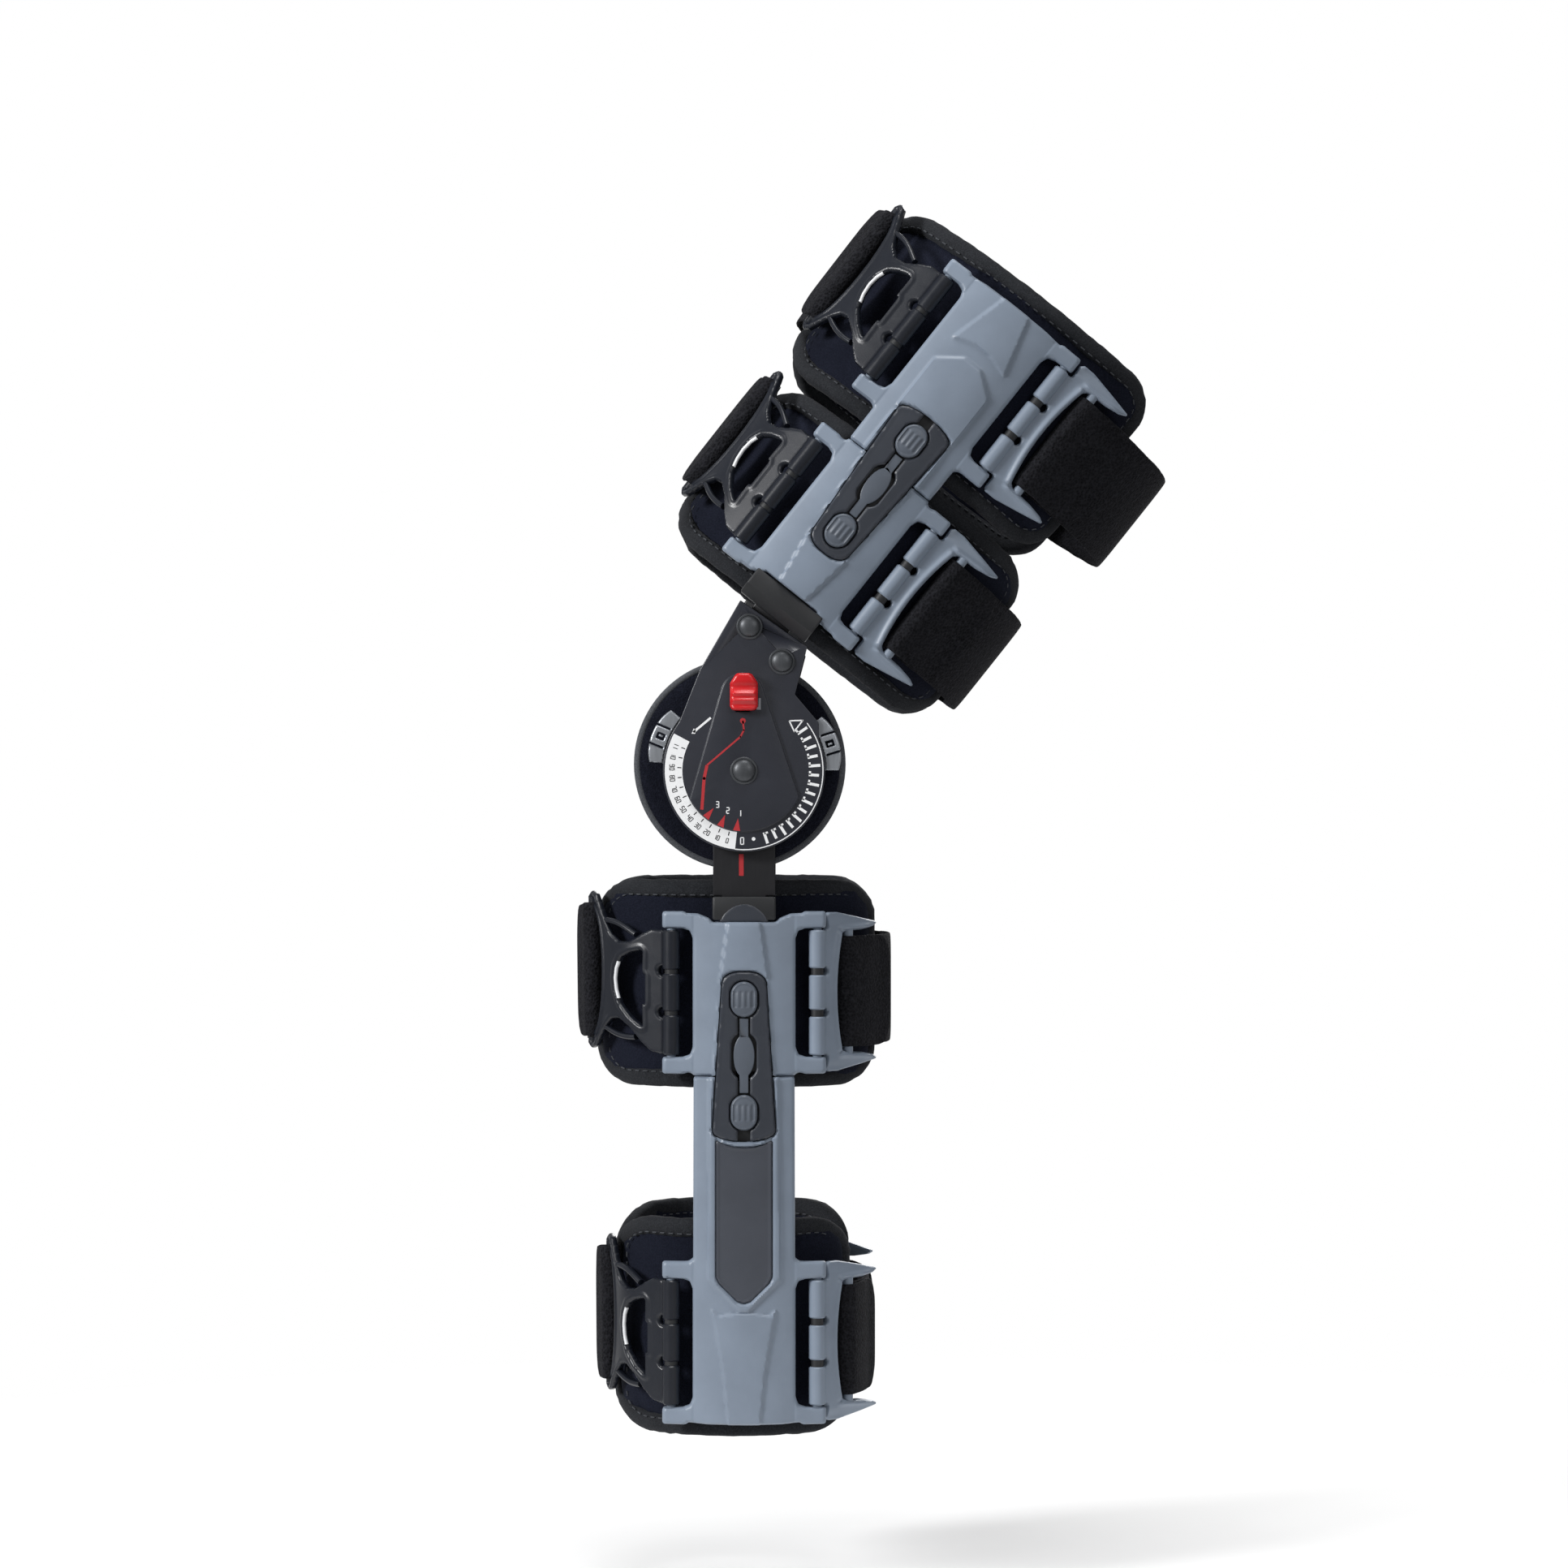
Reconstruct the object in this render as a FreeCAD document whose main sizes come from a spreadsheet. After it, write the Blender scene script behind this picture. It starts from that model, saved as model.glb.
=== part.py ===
"""Post-operative hinged knee brace: two telescoping uprights, one each side of the leg, joined by
straps, pads and buckles. Row frame in millimetres: the origin lies on the knee's hinge axis, midway
between the two hinges; +Z runs up the shank's uprights, +X points to the back of the leg and -Y is
the lateral side. The thigh is bent back by the cell "flexion". Thigh pieces are built along +Z about
the same origin and then turned by that angle; medial pieces mirror the lateral ones."""
import FreeCAD, Part
import math
import os

import Sketcher
from FreeCAD import Placement, Rotation, Vector

DIMENSIONS = {
    # posture, and where each upright stands
    "flexion": 38.5, "thigh_axis": -33.0, "shank_axis": 0.0,
    "thigh_face": 70.5, "shank_face": 58.5,
    # stations along each upright, measured from the hinge axis
    "thigh_near": 75.5, "thigh_seam": 146.0, "thigh_far": 238.5, "thigh_bar_end": 215.0,
    "shank_near": 67.5, "shank_seam": 137.5, "shank_far": 295.0, "shank_bar_end": 245.0,
    "seam_gap": 0.4,
    # upright bar, which the shells ride on
    "bar_gap": 4.0, "bar_thick": 3.0, "bar_width": 20.0, "slide_room": 0.15,
    "latch_hole": 3.0, "latch_pitch": 10.0, "bar_end_margin": 8.0,
    # moulded shell
    "shell_half": 23.0, "shell_edge": 8.5, "shell_crown": 12.0, "shell_wall": 2.4,
    "core_half": 12.8, "recess_floor": 9.5, "floor_slot": 9.4,
    # strap frame at each side of a shell
    "frame_height": 73.3, "frame_lead": 4.0, "frame_arm": 7.5, "frame_reach": 37.0,
    "pin_offset": 33.0, "pin_depth": 2.2, "pin_radius": 2.0,
    # button panel and push buttons
    "panel_lead": 23.0, "panel_length": 76.0, "panel_near_half": 10.2, "panel_far_half": 14.2,
    "panel_bottom": 9.7, "panel_top": 12.7, "panel_room": 0.3, "button_lead": 12.4,
    "button_pitch": 51.0, "button_wide": 5.9, "button_long": 7.9, "button_bottom": 11.4,
    "button_top": 14.4, "stem_wide": 4.0, "stem_long": 5.5, "stem_bottom": 9.4,
    "button_room": 0.4, "oval_wide": 5.6, "oval_long": 10.4, "neck_half": 2.7,
    "latch_oval_wide": 4.8, "latch_oval_long": 9.6, "latch_neck_half": 2.0, "latch_top": 11.6,
    # blank badge on the lower shank shell
    "badge_start": 168.5, "badge_shoulder": 229.0, "badge_tip": 240.0, "badge_half": 12.6,
    "badge_bottom": 10.4, "badge_top": 11.6,
    # hinge stack: depths from the middle plane of the leg
    "pad_inner": 49.5, "pad_outer": 62.3, "condyle_radius": 48.0, "condyle_x": -2.0, "condyle_z": 3.0,
    "arm_inner": 62.5, "arm_outer": 65.5, "plate_inner": 66.0, "plate_outer": 69.0,
    "cover_inner": 69.2, "cover_outer": 72.2, "tear_outer": 73.4,
    "disc_radius": 36.0, "plate_radius": 31.0, "dial_radius": 36.5, "scale_radius": 27.4,
    "neck_width": 28.0, "neck_end": 56.5, "jog_start": 61.8, "jog_rise": 9.5,
    "pivot_radius": 4.0, "bore_radius": 4.05, "pivot_head": 6.2, "pivot_foot": 6.5,
    "rivet_head": 5.7, "rivet_radius": 2.5, "washer_radius": 12.0,
    "rivet_one_x": -38.4, "rivet_one_z": 52.3, "rivet_two_x": -17.2, "rivet_two_z": 49.0,
    # drop lock and range-of-motion stops
    "lock_turn": 39.6, "lock_radius": 35.4, "lock_wide": 12.4, "lock_long": 16.4,
    "lock_top": 78.2, "lock_foot_wide": 6.0, "lock_foot_long": 7.0, "lock_travel": 5.0,
    "stop_inner": 31.6, "stop_lip": 37.1, "stop_outer": 44.5, "stop_top": 71.6,
    # loops, buckles and straps
    "barrel_radius": 3.8, "barrel_bore": 2.2, "barrel_length": 56.4, "beam_near": 5.2,
    "beam_far": 10.4, "beam_height": 72.6, "rod_reach": 18.5, "rod_radius": 2.0,
    "finger_reach": 36.0, "finger_inner": 27.0, "finger_thick": 3.6,
    "buckle_reach": 50.0, "buckle_sag": 5.5, "buckle_thick": 3.6, "buckle_rise": 9.0,
    "upper_thigh_turn": 40.0, "lower_thigh_turn": 46.0,
    "upper_calf_turn": 43.0, "lower_calf_turn": 55.0,
    "thigh_loop_turn": 12.0, "calf_loop_turn": 42.0,
    "strap_width": 50.0, "strap_thick": 2.5, "strap_stand": 3.75, "eye_radius": 3.9,
    "eye_bore": 2.45,
    # leg sections: centre, half depth front to back; half width per limb; and the pads round them
    "pad_thick": 6.0, "pad_corner": 16.0, "sleeve_relief": 20.5, "relief_depth": 63.0,
    "thigh_half_width": 64.0, "calf_half_width": 52.0,
    "upper_thigh_centre": -21.0, "upper_thigh_half": 80.0,
    "lower_thigh_centre": -22.75, "lower_thigh_half": 70.75,
    "upper_calf_centre": -3.0, "upper_calf_half": 60.0,
    "lower_calf_centre": -3.5, "lower_calf_half": 50.5,
}


class Cells:
    """Turns an attribute into a reference to the sheet's cell of that name."""

    def __getattr__(self, alias):
        if alias not in DIMENSIONS:
            raise AttributeError(alias)
        return f"Dims.{alias}"


class Values:
    """Reads a cell's number, for shapes that Part's own functions make."""

    def __getattr__(self, alias):
        return float(sheet.get(alias))


D, V = Cells(), Values()
doc = FreeCAD.newDocument("knee_brace")
sheet = doc.addObject("Spreadsheet::Sheet", "Dims")
for row, (alias, value) in enumerate(DIMENSIONS.items(), start=1):
    sheet.set(f"A{row}", alias)
    sheet.set(f"B{row}", str(value))
    sheet.setAlias(f"B{row}", alias)
doc.recompute()

NODES = {}
THIGH_AXIS = Vector(0, 1, 0)


class Upright:
    """One limb's upright: up is +1 for the thigh and -1 for the shank."""

    def __init__(self, name, up):
        self.name, self.up = name, up
        for field in ("axis", "face", "near", "seam", "far", "bar_end"):
            setattr(self, field, f"Dims.{name}_{field}")

    def along(self, station):
        """Height in the limb's frame of a station along the upright."""
        return f"{self.up} * ({station})"

    def across(self, offset):
        """Row x of an offset from the upright's centreline."""
        return f"{self.axis} + ({offset})"

    def out(self, height):
        """Depth from the leg's middle plane of a height above the shell's inner face."""
        return f"{self.face} + ({height})"


THIGH, SHANK = Upright("thigh", 1), Upright("shank", -1)


# ---------------------------------------------------------------- feature helpers
def new_body(name):
    return doc.addObject("PartDesign::Body", name)


def origin_plane(body, role):
    return next(f for f in body.Origin.OriginFeatures if f.Role == role)


def new_sketch(body, role, offset, turn=None):
    """A sketch on one of the body's own planes, lifted along its normal by an expression."""
    sketch = body.newObject("Sketcher::SketchObject", "Sketch")
    sketch.AttachmentSupport = [(origin_plane(body, role), "")]
    sketch.MapMode = "FlatFace"
    if turn is not None:
        angle = float(sheet.evalExpression(turn))
        sketch.AttachmentOffset = Placement(Vector(), Rotation(Vector(0, 0, 1), angle))
    sketch.setExpression("AttachmentOffset.Base.z", offset)
    return sketch


def bind_constraint(sketch, kind, geometry, vertex, expression):
    value = float(sheet.evalExpression(expression))
    place = (geometry,) if vertex is None else (geometry, vertex)
    index = sketch.addConstraint(Sketcher.Constraint(kind, *place, value))
    sketch.setExpression(f"Constraints[{index}]", expression)


def arc_between(start, end, radius):
    """The minor arc from start to end; a positive radius bulges to the left of the run."""
    middle, run = (start + end) / 2, end - start
    left = Vector(-run.y, run.x, 0).normalize()
    size = abs(radius)
    back = math.sqrt(size**2 - (run.Length / 2) ** 2)
    side = 1 if radius > 0 else -1
    centre = middle - left * back * side
    crown = centre + left * size * side
    return Part.Arc(end, crown, start) if side > 0 else Part.Arc(start, crown, end)


def outline(sketch, points, arcs=None):
    """A closed outline through points given as expression pairs. arcs maps the number of an edge
    to the expression of its signed radius."""
    arcs = arcs or {}
    places = [Vector(*(float(sheet.evalExpression(e)) for e in p), 0) for p in points]
    first = sketch.GeometryCount
    count = len(places)
    ends = {}
    for n, start in enumerate(places):
        end = places[(n + 1) % count]
        if n in arcs:
            radius = float(sheet.evalExpression(arcs[n]))
            number = sketch.addGeometry(arc_between(start, end, radius), False)
            turned = sketch.Geometry[number].StartPoint.distanceToPoint(start) > 1e-6
            ends[n] = (2, 1) if turned else (1, 2)
            bind_constraint(sketch, "Radius", number, None, f"abs({arcs[n]})")
        else:
            sketch.addGeometry(Part.LineSegment(start, end), False)
            ends[n] = (1, 2)
    for n in range(count):
        following = (n + 1) % count
        joint = (first + n, ends[n][1], first + following, ends[following][0])
        sketch.addConstraint(Sketcher.Constraint("Coincident", *joint))
    for n, (across, upward) in enumerate(points):
        bind_constraint(sketch, "DistanceX", first + n, ends[n][0], across)
        bind_constraint(sketch, "DistanceY", first + n, ends[n][0], upward)
    return sketch


def rectangle(sketch, left, right, low, high):
    return outline(sketch, [(left, low), (right, low), (right, high), (left, high)])


def rounded_rectangle(sketch, left, right, low, high):
    r = D.pad_corner
    points = [(f"{left} + {r}", low), (f"{right} - {r}", low), (right, f"{low} + {r}")]
    points += [(right, f"{high} - {r}"), (f"{right} - {r}", high), (f"{left} + {r}", high)]
    points += [(left, f"{high} - {r}"), (left, f"{low} + {r}")]
    return outline(sketch, points, arcs={n: f"-{r}" for n in (1, 3, 5, 7)})


def circle(sketch, across, upward, radius):
    centre = Vector(*(float(sheet.evalExpression(e)) for e in (across, upward)), 0)
    size = float(sheet.evalExpression(radius))
    number = sketch.addGeometry(Part.Circle(centre, Vector(0, 0, 1), size), False)
    bind_constraint(sketch, "Radius", number, None, radius)
    bind_constraint(sketch, "DistanceX", number, 3, across)
    bind_constraint(sketch, "DistanceY", number, 3, upward)
    return sketch


def upright_oval(sketch, across, upward, wide, long):
    """An ellipse that is longer along the upright than across it."""
    x, z, a, b = (float(sheet.evalExpression(e)) for e in (across, upward, long, wide))
    centre = Vector(x, z, 0)
    top, side = centre + Vector(0, a, 0), centre + Vector(b, 0, 0)
    number = sketch.addGeometry(Part.Ellipse(top, side, centre), False)
    bind_constraint(sketch, "DistanceX", number, 3, across)
    bind_constraint(sketch, "DistanceY", number, 3, upward)
    return sketch


def pad(body, sketch, length, backward=False):
    feature = body.newObject("PartDesign::Pad", "Pad")
    feature.Profile = sketch
    feature.Reversed = backward
    feature.setExpression("Length", length)
    sketch.Visibility = False
    return feature


def pocket(body, sketch, length, backward=False):
    """Cuts against the sketch's normal, and stops the build if nothing was cut."""
    doc.recompute()
    before = body.Shape.Volume
    feature = body.newObject("PartDesign::Pocket", "Pocket")
    feature.Profile = sketch
    feature.Reversed = backward
    feature.setExpression("Length", length)
    doc.recompute()
    if not body.Shape.Volume < before - 1e-3:
        raise RuntimeError(f"a pocket in {body.Label} cuts nothing")
    return feature


def outer_pocket(body, draw, top, depth, turn=None):
    """Cuts a drawn outline into the outward side of a piece, from depth top inwards by depth."""
    sketch = new_sketch(body, "XZ_Plane", top, turn)
    draw(sketch)
    return pocket(body, sketch, depth)


def outer_pad(body, draw, bottom, thickness, turn=None):
    """Adds a drawn outline as a plate that faces outwards, from depth bottom."""
    sketch = new_sketch(body, "XZ_Plane", bottom, turn)
    draw(sketch)
    return pad(body, sketch, thickness)


def run_along(body, limb, draw, start, length):
    """Adds a drawn cross-section that runs along the upright from station start."""
    sketch = new_sketch(body, "XY_Plane", limb.along(start))
    draw(sketch)
    return pad(body, sketch, length, backward=limb.up < 0)


def bound(kind, name, **cells):
    """A Part primitive with properties bound to expressions."""
    piece = doc.addObject(kind, name)
    for prop, expression in cells.items():
        piece.setExpression(prop, expression)
    return piece


def move(piece, across, depth, height, rotation=None):
    """Puts a primitive at a row x, a depth from the middle plane on the lateral side and a height."""
    if rotation is not None:
        piece.Placement = Placement(Vector(), rotation)
    piece.setExpression("Placement.Base.x", across)
    piece.setExpression("Placement.Base.y", f"-({depth})")
    piece.setExpression("Placement.Base.z", height)
    return piece


OUTWARD = Rotation(Vector(1, 0, 0), 90)


def boss(name, radius, bottom, top, across="0", height="0", **more):
    """A round piece on an axis across the leg, from depth bottom to depth top."""
    piece = bound("Part::Cylinder", name, Radius=radius, Height=f"({top}) - ({bottom})", **more)
    return move(piece, across, bottom, height, OUTWARD)


def fused(name, pieces):
    result = doc.addObject("Part::MultiFuse", name)
    result.Shapes = pieces
    result.Refine = True
    return result


def cut(name, base, tool):
    result = doc.addObject("Part::Cut", name)
    result.Base, result.Tool = base, tool
    return result


def common(name, pieces):
    result = doc.addObject("Part::MultiCommon", name)
    result.Shapes = pieces
    return result


def bend_with_thigh(piece):
    """Turns a piece that was built on the straight thigh to the brace's posture."""
    piece.Placement = Placement(Vector(), Rotation(THIGH_AXIS, V.flexion))
    piece.setExpression("Placement.Rotation.Angle", D.flexion)
    return piece


def in_limb(piece, limb):
    return bend_with_thigh(piece) if limb is THIGH else piece


def mirrored(piece, name):
    doc.recompute()
    result = doc.addObject("Part::Mirroring", name)
    result.Source = piece
    result.Normal = Vector(0, 1, 0)
    return result


def keep(name, piece):
    piece.Label = name
    NODES[name] = piece
    return piece


def keep_sides(name, lateral):
    """Keeps a lateral piece and its medial mirror image as two nodes."""
    keep(f"lateral_{name}", lateral)
    keep(f"medial_{name}", mirrored(lateral, f"medial_{name}"))


def keep_both(name, pieces):
    """Keeps pieces and their mirror images as separate solids of one node."""
    twins = [mirrored(piece, f"{name}_twin") for piece in pieces]
    group = doc.addObject("Part::Compound", name)
    group.Links = [*pieces, *twins]
    keep(name, group)


def outward_rim(shape):
    """Number of the edge that bounds the outermost face of a piece on the lateral side."""
    boxes = [edge.BoundBox for edge in shape.Edges]
    return 1 + min(range(len(boxes)), key=lambda n: boxes[n].YMin + boxes[n].YMax)


# ---------------------------------------------------------------- shells
def shell_section(limb):
    """Cross-section of a moulded shell: a crowned skin on two side walls and a core with a channel."""

    def draw(sketch):
        def point(offset, height):
            return limb.across(offset), f"-({limb.out(height)})"

        crown = f"({D.shell_crown} - {D.shell_edge})"
        radius = f"-({D.shell_half}^2 + {crown}^2) / (2 * {crown})"
        wall, half, core = D.shell_wall, D.shell_half, D.core_half
        ceiling = f"{D.shell_edge} - {wall}"
        points = [point(f"-{half}", D.shell_edge), point(half, D.shell_edge), point(half, "0")]
        points += [point(f"{half} - {wall}", "0"), point(f"{half} - {wall}", ceiling)]
        points += [point(core, ceiling), point(core, "0"), point(f"-{core}", "0")]
        points += [point(f"-{core}", ceiling), point(f"-({half} - {wall})", ceiling)]
        points += [point(f"-({half} - {wall})", "0"), point(f"-{half}", "0")]
        outline(sketch, points, arcs={0: radius})
        room = D.slide_room
        reach = f"({D.bar_width} / 2 + {room})"
        low, high = f"{D.bar_gap} - {room}", f"{D.bar_gap} + {D.bar_thick} + {room}"
        left, right = limb.across(f"-{reach}"), limb.across(reach)
        rectangle(sketch, left, right, f"-({limb.out(high)})", f"-({limb.out(low)})")

    return draw


def frame_arms(limb):
    """Cross-section of the two arms that carry the strap pins, one each side."""

    def draw(sketch):
        root = f"{D.shell_half} - 1.5"
        shape = [(root, "1.2"), (root, "7.6"), ("29", "7.0"), (D.frame_reach, "4.9")]
        shape += [(D.frame_reach, "-0.4"), ("29", "0")]
        for side in (1, -1):
            points = [(limb.across(f"{side} * ({x})"), f"-({limb.out(h)})") for x, h in shape]
            outline(sketch, points)

    return draw


def frame_pins(limb):
    def draw(sketch):
        for side in (1, -1):
            across = limb.across(f"{side} * {D.pin_offset}")
            circle(sketch, across, f"-({limb.out(D.pin_depth)})", D.pin_radius)

    return draw


def panel_outline(limb, room="0", near_half=D.panel_near_half):
    """The button panel: narrow towards the knee, wider and rounded at the far end."""

    def draw(sketch):
        start = f"{limb.near} + {D.panel_lead}"
        end = f"{start} + {D.panel_length}"
        near, far = f"({near_half} + {room})", f"({D.panel_far_half} + {room})"
        low, high = f"{start} + 1.5 - {room}", f"{end} - 5 + {room}"
        corners = [(f"-{near}", low), (near, low), (far, high), (f"-{far}", high)]
        points = [(limb.across(x), limb.along(s)) for x, s in corners]
        side = -limb.up
        arcs = {0: f"{side} * 36", 2: f"{side} * 23"}
        outline(sketch, points, arcs)

    return draw


def add_frame(body, limb, start):
    """Strap frames: arms at both ends, with a pin between them on each side of the shell."""
    run_along(body, limb, frame_arms(limb), start, D.frame_arm)
    second = f"{start} + {D.frame_height} - {D.frame_arm}"
    run_along(body, limb, frame_arms(limb), second, D.frame_arm)
    run_along(body, limb, frame_pins(limb), start, D.frame_height)


def cut_panel_seat(body, limb, slot_start, slot_end, near_half=D.panel_near_half):
    """The seat that the panel lies in, and the slot in its floor for the button stems."""
    seat, seat_depth = panel_outline(limb, D.panel_room, near_half), f"{D.button_top} - {D.recess_floor}"
    outer_pocket(body, seat, limb.out(D.button_top), seat_depth)
    left, right = (limb.across(f"{side} * {D.floor_slot} / 2") for side in (-1, 1))

    def slot(sketch):
        rectangle(sketch, left, right, limb.along(slot_start), limb.along(slot_end))

    floor = f"{D.recess_floor} - {D.bar_gap} - {D.bar_thick}"
    outer_pocket(body, slot, limb.out(D.recess_floor), floor)


def near_frame_start(limb):
    return f"{limb.near} - {D.frame_lead}"


def far_frame_start(limb):
    return f"{limb.far} - {D.frame_height}"


def panel_start(limb):
    return f"({limb.near} + {D.panel_lead})"


def make_near_shell(limb):
    body = new_body(f"{limb.name}_near")
    run_along(body, limb, shell_section(limb), limb.near, f"{limb.seam} - {limb.near}")
    add_frame(body, limb, near_frame_start(limb))
    slot_start = f"{panel_start(limb)} + 4"
    cut_panel_seat(body, limb, slot_start, f"{limb.seam} + 1")
    return in_limb(body, limb)


def make_far_shell(limb):
    body = new_body(f"{limb.name}_far")
    start = f"{limb.seam} + {D.seam_gap}"
    run_along(body, limb, shell_section(limb), start, f"{limb.far} - ({start})")
    add_frame(body, limb, far_frame_start(limb))
    slot_end = f"{panel_start(limb)} + {D.button_lead} + {D.button_pitch} + {D.button_long} - 1"
    # the seat has straight sides here, so that the shell can slide out from under the panel
    cut_panel_seat(body, limb, f"{limb.seam} - 1", slot_end, D.panel_far_half)
    if limb is SHANK:
        depth = f"{D.shell_crown} + 1 - {D.badge_bottom}"
        outer_pocket(body, badge_outline("0.2"), limb.out(f"{D.shell_crown} + 1"), depth)
    return in_limb(body, limb)


def badge_outline(room):
    """A blank badge with a chevron tip and a hollow end that clears the button panel."""

    def draw(sketch):
        half = f"({D.badge_half} + {room})"
        start, shoulder = f"{D.badge_start} + 3 - {room}", f"{D.badge_shoulder}"
        tip = f"{D.badge_tip} + {room}"
        corners = [(f"-{half}", start), (half, start), (half, shoulder), ("5", f"{tip} - 2")]
        corners += [("-5", f"{tip} - 2"), (f"-{half}", shoulder)]
        outline(sketch, [(SHANK.across(x), SHANK.along(s)) for x, s in corners])

    return draw


def make_badge():
    body = new_body("badge")
    thickness = f"{D.badge_top} - {D.badge_bottom}"
    outer_pad(body, badge_outline("0"), SHANK.out(D.badge_bottom), thickness)
    return body


# ---------------------------------------------------------------- button panels
def button_station(limb, number):
    return f"{panel_start(limb)} + {D.button_lead} + {number} * {D.button_pitch}"


def latch_station(limb):
    return f"{panel_start(limb)} + {D.button_lead} + 0.5 * {D.button_pitch}"


def make_panel(limb):
    """Cover over the bar, with a keyhole slot: two button holes, and an oval between them."""
    body = new_body(f"{limb.name}_panel")
    thickness = f"{D.panel_top} - {D.panel_bottom}"
    outer_pad(body, panel_outline(limb), limb.out(D.panel_bottom), thickness)
    top, deep = limb.out(f"{D.panel_top} + 1"), f"{thickness} + 2"
    for number in (0, 1):
        station = limb.along(button_station(limb, number))
        wide = f"{D.button_wide} + {D.button_room}"
        long = f"{D.button_long} + {D.button_room}"
        hole = (limb.axis, station, wide, long)
        outer_pocket(body, lambda sketch, hole=hole: upright_oval(sketch, *hole), top, deep)
    middle = (limb.axis, limb.along(latch_station(limb)), D.oval_wide, D.oval_long)
    outer_pocket(body, lambda sketch: upright_oval(sketch, *middle), top, deep)
    left, right = limb.across(f"-{D.neck_half}"), limb.across(D.neck_half)
    first, last = button_station(limb, 0), button_station(limb, 1)

    def neck(sketch):
        rectangle(sketch, left, right, limb.along(first), limb.along(last))

    outer_pocket(body, neck, top, deep)
    return in_limb(body, limb)


def make_latch(limb):
    """Latch strip that lies in the panel's slot between the buttons."""
    body = new_body(f"{limb.name}_latch")
    bottom, thickness = limb.out(D.panel_bottom), f"{D.latch_top} - {D.panel_bottom}"
    middle = (limb.axis, limb.along(latch_station(limb)), D.latch_oval_wide, D.latch_oval_long)
    outer_pad(body, lambda sketch: upright_oval(sketch, *middle), bottom, thickness)
    clear = f"({D.button_long} + {D.button_room} + 0.4)"
    low, high = f"{button_station(limb, 0)} + {clear}", f"{button_station(limb, 1)} - {clear}"
    left, right = limb.across(f"-{D.latch_neck_half}"), limb.across(D.latch_neck_half)

    def neck(sketch):
        rectangle(sketch, left, right, limb.along(low), limb.along(high))

    outer_pad(body, neck, bottom, thickness)
    return in_limb(body, limb)


def make_button(limb, number):
    """Oval push button on a stem that reaches down through the shell's floor."""
    body = new_body(f"{limb.name}_button")
    station = limb.along(button_station(limb, number))
    stem = (limb.axis, station, D.stem_wide, D.stem_long)
    cap = (limb.axis, station, D.button_wide, D.button_long)
    rise = f"{D.button_bottom} - {D.stem_bottom}"
    outer_pad(body, lambda sketch: upright_oval(sketch, *stem), limb.out(D.stem_bottom), rise)
    height = f"{D.button_top} - {D.button_bottom}"
    outer_pad(body, lambda sketch: upright_oval(sketch, *cap), limb.out(D.button_bottom), height)
    doc.recompute()
    cap_feature, rim = body.Tip, outward_rim(body.Shape)
    fillet = body.newObject("PartDesign::Fillet", "Dome")
    fillet.Base = (cap_feature, [f"Edge{rim}"])
    fillet.Radius = 1.4
    return in_limb(body, limb)


# ---------------------------------------------------------------- hinge
def latch_holes(body, limb, top):
    """A row of latch holes in the bar, repeated towards its end."""
    station = button_station(limb, 0)
    start = limb.along(station)
    sketch = new_sketch(body, "XZ_Plane", top)
    circle(sketch, limb.axis, start, D.latch_hole)
    first = pocket(body, sketch, f"{D.bar_thick} + 2")
    room = V.shank_bar_end if limb is SHANK else V.thigh_bar_end
    count = int((room - V.bar_end_margin - float(sheet.evalExpression(station))) / V.latch_pitch)
    pattern = body.newObject("PartDesign::LinearPattern", "LatchRow")
    pattern.Originals = [first]
    pattern.Direction = (origin_axis(body), [""])
    pattern.Reversed = limb.up < 0
    pattern.Occurrences = count + 1
    pattern.Length = count * V.latch_pitch
    pattern.setExpression("Length", f"{count} * {D.latch_pitch}")
    body.Tip = pattern
    return pattern


def origin_axis(body):
    return next(f for f in body.Origin.OriginFeatures if f.Role == "Z_Axis")


def make_shank_arm():
    """Lower hinge arm: a disc about the pivot, a neck, and the bar that the shank shells ride on."""
    body = new_body("shank_arm")
    bottom, thick = D.arm_inner, f"{D.arm_outer} - {D.arm_inner}"
    outer_pad(body, lambda sketch: circle(sketch, "0", "0", D.disc_radius), bottom, thick)
    half = f"{D.neck_width} / 2"
    low = f"-{D.neck_end}"
    outer_pad(body, lambda s: rectangle(s, f"-{half}", half, low, "-20"), bottom, thick)
    bar = f"{D.bar_width} / 2"
    end = f"-{D.shank_bar_end}"
    outer_pad(body, lambda s: rectangle(s, f"-{bar}", bar, end, "-40"), bottom, thick)
    outer_pocket(
        body, lambda s: circle(s, "0", "0", D.bore_radius), f"{D.arm_outer} + 1", f"{thick} + 2"
    )
    latch_holes(body, SHANK, f"{D.arm_outer} + 1")
    return body


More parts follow.
